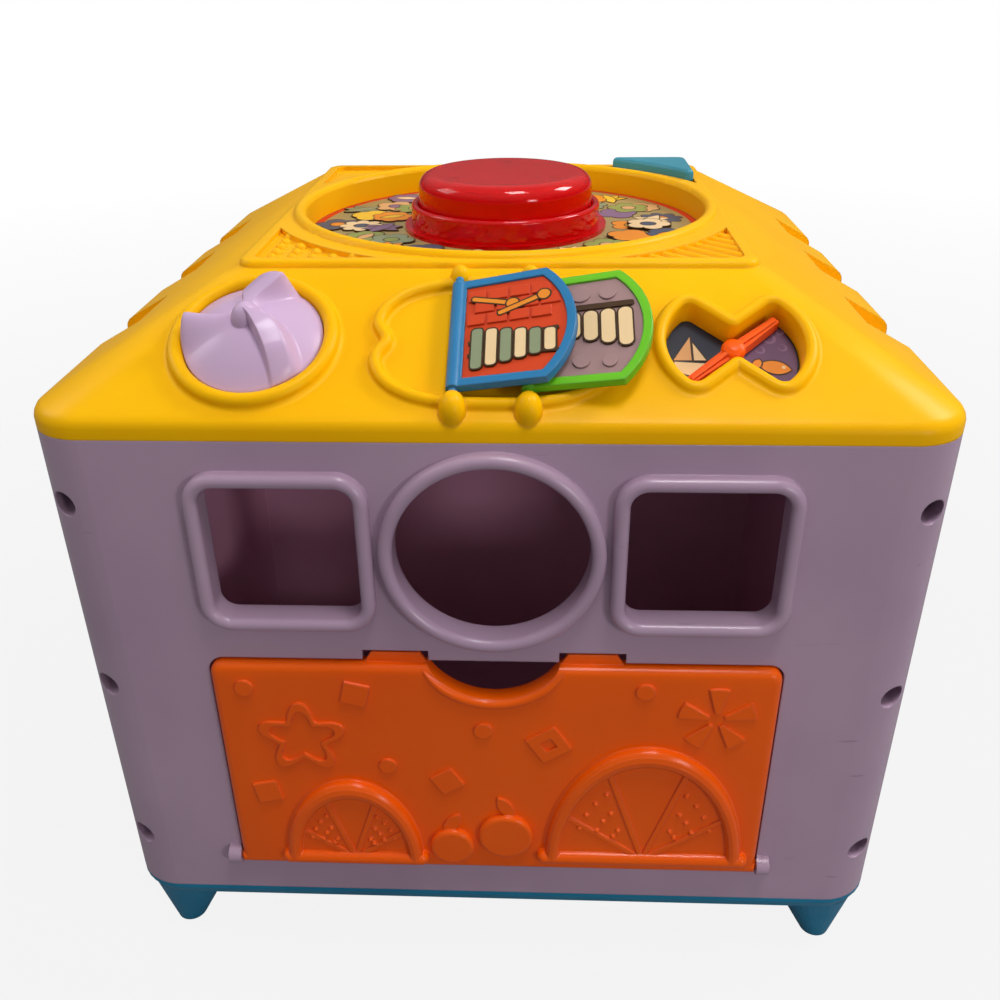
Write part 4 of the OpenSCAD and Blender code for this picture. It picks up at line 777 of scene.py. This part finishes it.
def seedSpots(plan, x, up, r):
    spots = []
    level = plan["high"] - plan["tube"] + plan["seedOut"]
    for turn in plan["seedTurns"]:
        for row in range(plan["seedRows"]):
            d = (r - 2 * plan["tube"]) * (plan["seedFrom"] + plan["seedStep"] * row)
            for k in range(2 + row):
                a = math.radians(turn + (k - (1 + row) / 2) * plan["seedTurn"])
                z = plan["foot"] + up + plan["rise"] * d * math.sin(a)
                spots.append(onDoor(plan, x + d * math.cos(a), z, level))
    return spots


def buildDoor(plan):
    door = cadCopy("bin_door", "binDoor", crease["door"])
    taperTabs(plan, door)
    extras = []
    tube, skin = plan["tube"], plan["skin"]
    crown = [(tube + out, z) for out, z in plan["outerFoot"]]
    crown += arc(0, plan["high"] - tube, tube + skin, 0, 180, plan["tubeSteps"])
    crown += [(-tube - out, z) for out, z in plan["innerFoot"]]
    for x, up, r in plan["slices"]:
        half = arc(0, 0, r - tube + skin, 0, 180, plan["archSteps"])
        arch = sweep("sliceArch", half, crown[::-1], False)
        arch.scale = (1, plan["rise"], 1)
        bpy.context.view_layer.update()
        settle(arch, onDoor(plan, x, plan["foot"] + up))
        extras.append(arch)
        extras += [bulb("seed", [plan["seed"]] * 3, spot) for spot in seedSpots(plan, x, up, r)]
    for x, up, r in plan["berries"]:
        top, circle = plan["high"] - plan["berryDown"], ring(0, 0, r, plan["berrySteps"])
        extras.append(slab("berry", [circle], top, plan["berrySoft"], plan["berryLow"]))
        settle(extras[-1], onDoor(plan, x, plan["foot"] + up))
    lip = wallRidge(plan["lipWide"], plan["lipHigh"], plan["lipFoot"], plan["lipDrop"])
    lipR = plan["scoopR"] + plan["lipWide"] / 2 - plan["scoopInset"]
    path = arc(0, 0, lipR, 270 - plan["scoopTurn"], 270 + plan["scoopTurn"], plan["lipSteps"])
    extras.append(sweep("scoopLip", path, lip, False, plan["lipTaper"]))
    settle(extras[-1], onDoor(plan, 0, plan["scoopZ"]))
    joinInto(door, extras)
    smoothShade(door, crease["door"])
    return dress(door, "bin_door", "orange_plastic", finishes["orange"], "bin_door")


buildDoor(doorPlan)
print("door finished")


# pages: printed pictures on both faces of each insert
pagePlan = {"x": slopePlan["hingeX"], "lift": 3.4, "blueTilt": 12.0, "greenTilt": 10.0,
            "face": 1.51, "sink": 0.7}
bluePlan = {
    "line": 0.55, "rails": [(-4.4, 4), (-11.6, -4)], "railX": 19.5, "railLong": 30, "railWide": 1.5,
    "railRound": 0.7, "bars": 6, "barX": 7.5, "barStep": 4.8, "barY": -8, "barWide": 3.5,
    "barLong": 16.5, "barLess": 1.5, "barRound": 1.2,
    "mallets": [(6, 13.5, 19, 9.5), (15, 6.0, 29.5, 11.5)], "stick": 0.8, "head": 2.0,
}
greenPlan = {
    "line": 0.55, "railX": 20, "railY": 8.4, "railLong": 29, "railWide": 2.2, "railRound": 1.0,
    "bars": 5, "barX": 9, "barStep": 5.6, "barTop": 6.4, "barWide": 4.4, "barLong": 9, "barMore": 1.7,
    "barRound": 2.0,
}


def onPage(plan, side, tilt, face):
    hinge = onSlope(side * plan["x"], 0, plan["lift"]) @ Matrix.Rotation(math.radians(-tilt), 4, "Y")
    return hinge @ Matrix.Diagonal((1, 1, face, 1))


def bluePicture(plan):
    line, shapes = plan["line"], []
    for y, turn in plan["rails"]:
        rail = bar(plan["railX"], y, plan["railLong"], plan["railWide"], plan["railRound"], turn)
        shapes.append(("brownInk", still(rail), 0))
    for k in range(plan["bars"]):
        x, long = plan["barX"] + plan["barStep"] * k, plan["barLong"] - plan["barLess"] * k
        tone = growingBar(x, plan["barY"], plan["barWide"], long, plan["barRound"])
        shapes.append(("creamInk" if k % 2 else "sageInk", tone, line))
    for mallet in plan["mallets"]:
        shapes.append(("orangeInk", lambda g, ends=mallet: rod(*ends, plan["stick"] + g), line))
        shapes.append(("orangeInk", growingRing(*mallet[2:], plan["head"]), line))
    return shapes


def greenPicture(plan):
    rail = bar(plan["railX"], plan["railY"], plan["railLong"], plan["railWide"], plan["railRound"])
    shapes = [("brownInk", still(rail), 0)]
    for k in range(plan["bars"]):
        x, long = plan["barX"] + plan["barStep"] * k, plan["barLong"] + plan["barMore"] * k
        tone = growingBar(x, plan["barTop"] - long / 2, plan["barWide"], long, plan["barRound"])
        shapes.append(("creamInk", tone, plan["line"]))
    return shapes


for face, label in ((1, "Front"), (-1, "Back")):
    blueSide = onPage(pagePlan, -1, pagePlan["blueTilt"], face)
    layPrint("bluePage" + label, bluePicture(bluePlan), blueSide, "blue_page", "blue_page_print",
             pagePlan["face"], pagePlan["sink"])
    greenSide = onPage(pagePlan, 1, pagePlan["greenTilt"], face)
    layPrint("greenPage" + label, greenPicture(greenPlan), greenSide, "green_page", "green_page_print",
             pagePlan["face"], pagePlan["sink"])
print("page pictures laid")


# card under the pointer: a boat on dark water at the left, a fish among bubbles at the right
# the fish's two leaves are given as place, length, width and turn
cardPlan = {
    "x": slopePlan["windowX"], "deep": -7.17, "line": 0.5, "fieldTip": 3.4, "fieldR": 21.6, "fieldTurn": 42,
    "bubbles": [(10, 3.5, 1.6), (13.5, 8.5, 2.2), (17.5, 4.5, 1.5), (17.4, 11.5, 1.4), (9, -4.6, 1.2),
                (18.6, -11.8, 1.2)],
    "shineShift": 0.3, "shineShare": 0.72,
    "fish": [(14, -4, 10.5, 5.4, -12), (8.2, -2.6, 4.4, 2.8, 62)], "eye": (16.8, -4, 0.7), "eyeSteps": 16,
    "waves": 4, "waveX": -14, "waveShift": 1.6, "waveY": -11, "waveStep": 3.1, "waveSize": (9, 0.6, 0.29, 6),
    "hull": (-13.6, -2.2, -4), "hullR": 5.4, "hullSteps": 20, "sailFoot": -1.2,
    "mast": -13.2, "mainTip": -19.2, "mainTop": 9, "jib": -12.4, "jibTip": -8.4, "jibTop": 6.4,
    "sailPoint": 1.6, "jibEdge": 0.2,
}


def boatShapes(plan):
    foot, point = plan["sailFoot"], plan["sailPoint"]

    def mainSail(g):
        mast = plan["mast"] + g
        top, tip = plan["mainTop"] + point * g, plan["mainTip"] - point * g
        return [(mast, foot - g), (mast, top), (tip, foot - g)]

    def jib(g):
        edge = plan["jib"] - g * plan["jibEdge"]
        top, tip = plan["jibTop"] + point * g, plan["jibTip"] + point * g
        return [(edge, foot - g), (tip, foot - g), (edge, top)]

    def hull(g):
        return turned(arc(0, 0, plan["hullR"] + g, 180, 360, plan["hullSteps"]), *plan["hull"])

    parts = (("creamInk", hull), ("tanInk", mainSail), ("creamInk", jib))
    return [(ink, outline, plan["line"]) for ink, outline in parts]


def cardPicture(plan):
    field = [(plan["fieldTip"], 0)] + arc(0, 0, plan["fieldR"], -plan["fieldTurn"], plan["fieldTurn"])
    shapes = [("purpleInk", still(field), 0)]
    for x, y, r in plan["bubbles"]:
        inner = ring(x - plan["shineShift"], y + plan["shineShift"], r * plan["shineShare"])
        shapes += [("mauveInk", still(ring(x, y, r)), 0), ("purpleInk", still(inner), 0)]
    shapes += [("orangeInk", growingLeaf(*part), plan["line"]) for part in plan["fish"]]
    shapes.append(("creamInk", still(ring(*plan["eye"], plan["eyeSteps"])), 0))
    for k in range(plan["waves"]):
        x, y = plan["waveX"] - plan["waveShift"] * (k % 2), plan["waveY"] + plan["waveStep"] * k
        shapes.append(("slateInk", still(bar(x, y, *plan["waveSize"])), 0))
    return shapes + boatShapes(plan)


layPrint("card", cardPicture(cardPlan), onSlope(cardPlan["x"]), "cube", "window_print", cardPlan["deep"])
print("window card printed")


# disc in the well: plain flowers and leaves round the button, inside a red border
# flowers are given as radius, count of petals where it is fixed, and depth between them
discPlan = {
    "top": 269.33, "line": 0.6, "borderOut": 83.6, "borderIn": 80.4, "borderSteps": 128,
    "count": 51, "rows": (54.5, 71.0, 62.5), "rowShift": 2, "rowWave": 4.1, "turnShift": 5, "turnWave": 2.3,
    "flower": (9.4, 0.3), "heart": 3.0, "sprig": (17, 5.6), "sprigTurns": (-38, 8, 54),
    "rosette": (8.8, 7, 0.18), "rosetteLeaf": (11, 4.4), "rosetteTurn": 40, "clover": (9, 4, 0.24),
}
discInks = ["orangeInk", "leafInk", "creamInk", "yellowInk", "tanInk", "slateInk", "sageInk", "mauveInk"]


def discFlower(plan, k):  # one of five kinds of flower or sprig, as (ink, outline) pairs
    a = 360 * k / plan["count"] + plan["turnShift"] * math.sin(plan["turnWave"] * k)
    r = plan["rows"][k % 3] + plan["rowShift"] * math.sin(plan["rowWave"] * k)
    x, y = r * math.cos(math.radians(a)), r * math.sin(math.radians(a))
    ink, second = discInks[k * 5 % len(discInks)], discInks[(k * 5 + 3) % len(discInks)]
    kind = k * 3 % 5
    if kind in (0, 3):
        r, depth = plan["flower"]
        flower = growingPetals(x, y, a, r, 5 + kind, depth)
        return [(ink, flower), (second, growingRing(x, y, plan["heart"]))]
    if kind == 1:
        return [(ink, growingLeaf(x, y, *plan["sprig"], a + turn)) for turn in plan["sprigTurns"]]
    if kind == 2:
        middle = growingLeaf(x, y, *plan["rosetteLeaf"], a + plan["rosetteTurn"])
        return [(ink, growingPetals(x, y, a, *plan["rosette"])), (second, middle)]
    return [(ink, growingPetals(x, y, a, *plan["clover"]))]


def discPicture(plan):
    steps = plan["borderSteps"]
    border = arc(0, 0, plan["borderOut"], 0, 360, steps) + arc(0, 0, plan["borderIn"], 360, 0, steps)
    shapes = [("redInk", still(border), 0)]
    for k in range(plan["count"]):
        shapes += [(ink, outline, plan["line"]) for ink, outline in discFlower(plan, k)]
    return shapes


discPlace = Matrix.Translation((0, wellY * mm, 0))
layPrint("disc", discPicture(discPlan), discPlace, "cube", "well_print", discPlan["top"])
print("well disc printed")


# corner key: a three-cornered hollow button with a soft pillow edge, on the solid's own stem
keyPlan = {"half": 86.7, "circle": 97.3, "corner": 4.0, "tip": 2.4, "low": 277.8, "high": 283.0, "soft": 2.2,
           "wall": 2.0, "slack": 0.01, "roundSteps": 8, "stemFoot": 0.1, "stemSoft": 0.2, "stemSteps": 48}


def keyOutline(plan):
    h, r, tip, corner, steps = (plan[key] for key in ("half", "circle", "tip", "corner", "roundSteps"))
    tipX, tipY = h - tip, math.sqrt((r + tip) ** 2 - (h - tip) ** 2)  # a small round that meets both sides
    side = math.degrees(math.atan2(tipY, tipX))
    lower = arc(tipX, tipY, tip, side + 180, 360, steps)
    upper = [(y, x) for x, y in reversed(lower)]
    outer, inner = arc(h - corner, h - corner, corner, 0, 90, steps), arc(0, 0, r, 90 - side, side)
    return lower + outer + upper + inner[1:-1]


def keyStem(plan):  # as wide as the foot of the solid's stem and where that stands
    spots = [vert.co / mm for vert in nodes["corner_button"].data.vertices]
    end = span(spots, 2)[0]
    foot = [spot for spot in spots if spot.z < end + plan["stemFoot"]]
    (left, right), (front, back) = span(foot, 0), span(foot, 1)
    outline = ring((left + right) / 2, (front + back) / 2, (right - left) / 2, plan["stemSteps"])
    return slab("cornerKeyStem", [outline], plan["high"] - plan["wall"] / 2, plan["stemSoft"], end)


def buildKey(plan):
    key = slab("cornerKeyTop", [keyOutline(plan)], plan["high"], plan["soft"], plan["low"] - plan["soft"])
    settle(key, Matrix.Translation((0, wellY * mm, 0)))
    bottom = (plan["low"] + plan["slack"]) * mm
    deleteFaces(key, lambda face: all(key.data.vertices[k].co.z < bottom for k in face.vertices))
    mergeCorners(key)
    shell = key.modifiers.new("shell", "SOLIDIFY")
    shell.thickness = plan["wall"] * mm
    shell.offset = -1
    bpy.ops.object.modifier_apply(modifier=shell.name)
    joinInto(key, [keyStem(plan)])
    smoothShade(key, crease["slab"])
    return dress(key, "corner_button", "teal_key_plastic", finishes["tealKey"], "corner_button")


buildKey(keyPlan)
print("corner key rounded")


# return springs: smooth copies of the solid's coils, carried by the cube
springPlan = {
    "button_spring": {"name": "buttonCoil", "joint": "red_button_press", "travel": 4.0},
    "corner_spring": {"name": "cornerCoil", "joint": "corner_button_press", "travel": 2.5},
}


def buildSpring(node, plan):
    coil = cadCopy(node, plan["name"])
    dress(coil, "cube", "steel", finishes["steel"], node)
    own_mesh(coil)


for node, plan in springPlan.items():
    buildSpring(node, plan)
print("springs set")


# camera where the photo was taken from, in mm and degrees
shot = {"place": (15.32, -435.15, 372.17), "pitch": 28.448, "yaw": -2.482, "roll": -0.636,
        "lens": 36.24, "sensor": 36, "nearest": 10}


def buildCamera(plan):
    pitch, yaw, roll = (math.radians(plan[key]) for key in ("pitch", "yaw", "roll"))
    ahead = Vector((math.sin(yaw) * math.cos(pitch), math.cos(yaw) * math.cos(pitch), -math.sin(pitch)))
    side = Vector((math.cos(yaw), -math.sin(yaw), 0))
    above = side.cross(ahead)
    across = side * math.cos(roll) + above * math.sin(roll)
    upward = above * math.cos(roll) - side * math.sin(roll)
    lens = bpy.data.cameras.new("photoCamera")
    lens.lens = plan["lens"]
    lens.sensor_width = plan["sensor"]
    lens.clip_start = plan["nearest"] * mm
    camera = newObject("photoCamera", lens)
    turn = Matrix((across, upward, -ahead)).transposed().to_4x4()
    camera.matrix_world = Matrix.Translation(Vector(plan["place"]) * mm) @ turn
    scene.camera = camera


buildCamera(shot)

# floor and surround, lengths in metres
# both are white to the camera and through clear plastic, dimmer in reflections and as light
floorPlan = {"size": 160, "grey": 0.18, "rough": 0.8, "near": 0.3, "far": 1.6, "nearWhite": 0.88,
             "mirrored": 0.08}
worldPlan = {"light": 0.32, "mirrored": 0.4, "horizonLow": 0.08, "horizonHigh": 0.7, "horizonDim": 0.12}


# 1 to the camera and through clear plastic, less in reflections and 0 for other light
def seenDirectly(tree, mirrored):
    rays = addNode(tree, "ShaderNodeLightPath").outputs
    glossy = combine(tree, "MULTIPLY", rays["Is Glossy Ray"], mirrored)
    seen = combine(tree, "MAXIMUM", rays["Is Camera Ray"], glossy)
    return combine(tree, "MAXIMUM", seen, rays["Is Transmission Ray"])


def buildFloor(plan):
    deselect()
    bpy.ops.mesh.primitive_plane_add(size=plan["size"], location=(0, 0, 0))
    floor = bpy.context.object
    floor.name = "floor"
    floorPaint = bpy.data.materials.new("floorPaint")
    floorPaint.use_nodes = True
    tree = floorPaint.node_tree
    shader = tree.nodes["Principled BSDF"]
    shader.inputs["Base Color"].default_value = (plan["grey"], plan["grey"], plan["grey"], 1)
    shader.inputs["Roughness"].default_value = plan["rough"]
    away = addNode(tree, "ShaderNodeVectorMath")
    away.operation = "LENGTH"
    tree.links.new(addNode(tree, "ShaderNodeTexCoord").outputs["Object"], away.inputs[0])
    # a little of the shadow shows near the object, and all is white where the floor meets the surround
    clean = mapRange(tree, away.outputs["Value"], plan["near"], plan["far"], plan["nearWhite"], 1.0)
    share = combine(tree, "MULTIPLY", seenDirectly(tree, plan["mirrored"]), clean)
    glow = addNode(tree, "ShaderNodeEmission")
    blend = addNode(tree, "ShaderNodeMixShader")
    tree.links.new(share, blend.inputs["Fac"])
    tree.links.new(shader.outputs["BSDF"], blend.inputs[1])
    tree.links.new(glow.outputs["Emission"], blend.inputs[2])
    tree.links.new(blend.outputs["Shader"], tree.nodes["Material Output"].inputs["Surface"])
    floor.data.materials.append(floorPaint)


def buildWorld(plan):
    scene.world = bpy.data.worlds.new("surround")
    scene.world.use_nodes = True
    tree = scene.world.node_tree
    sky = tree.nodes["Background"]
    sky.inputs["Color"].default_value = (1, 1, 1, 1)
    level = mapRange(tree, seenDirectly(tree, plan["mirrored"]), 0.0, 1.0, plan["light"], 1.0)
    way = addNode(tree, "ShaderNodeSeparateXYZ")
    tree.links.new(addNode(tree, "ShaderNodeTexCoord").outputs["Generated"], way.inputs["Vector"])
    # reflections see a darker horizon, as in a room
    dim = mapRange(tree, way.outputs["Z"], plan["horizonLow"], plan["horizonHigh"], plan["horizonDim"], 1.0)
    mirror = addNode(tree, "ShaderNodeMix", A=1.0)
    tree.links.new(addNode(tree, "ShaderNodeLightPath").outputs["Is Glossy Ray"], mirror.inputs["Factor"])
    tree.links.new(dim, mirror.inputs["B"])
    tree.links.new(combine(tree, "MULTIPLY", level, mirror.outputs["Result"]), sky.inputs["Strength"])


buildFloor(floorPlan)
buildWorld(worldPlan)

# lamps, in metres and watts, all turned to the object's middle
lampAim = (0, 0, 0.15)
lamps = {
    "topLamp": {"place": (0.25, -0.4, 1.6), "size": 0.4, "watts": 9.2},
    "keyLamp": {"place": (1.05, 0.3, 1.2), "size": 0.4, "watts": 10.0},
    "leftLamp": {"place": (-1.2, 0.1, 1.1), "size": 0.6, "watts": 4.0},
    "frontLamp": {"place": (0.85, -1.15, 0.42), "size": 0.25, "watts": 3.2},
}
for name, lamp in lamps.items():
    light = bpy.data.lights.new(name, "AREA")
    light.size = lamp["size"]
    light.energy = lamp["watts"]
    holder = newObject(name, light)
    holder.location = lamp["place"]
    holder.rotation_euler = (Vector(lampAim) - Vector(lamp["place"])).to_track_quat("-Z", "Y").to_euler()
scene.view_settings.view_transform = "Standard"
print("camera, floor and lamps set")
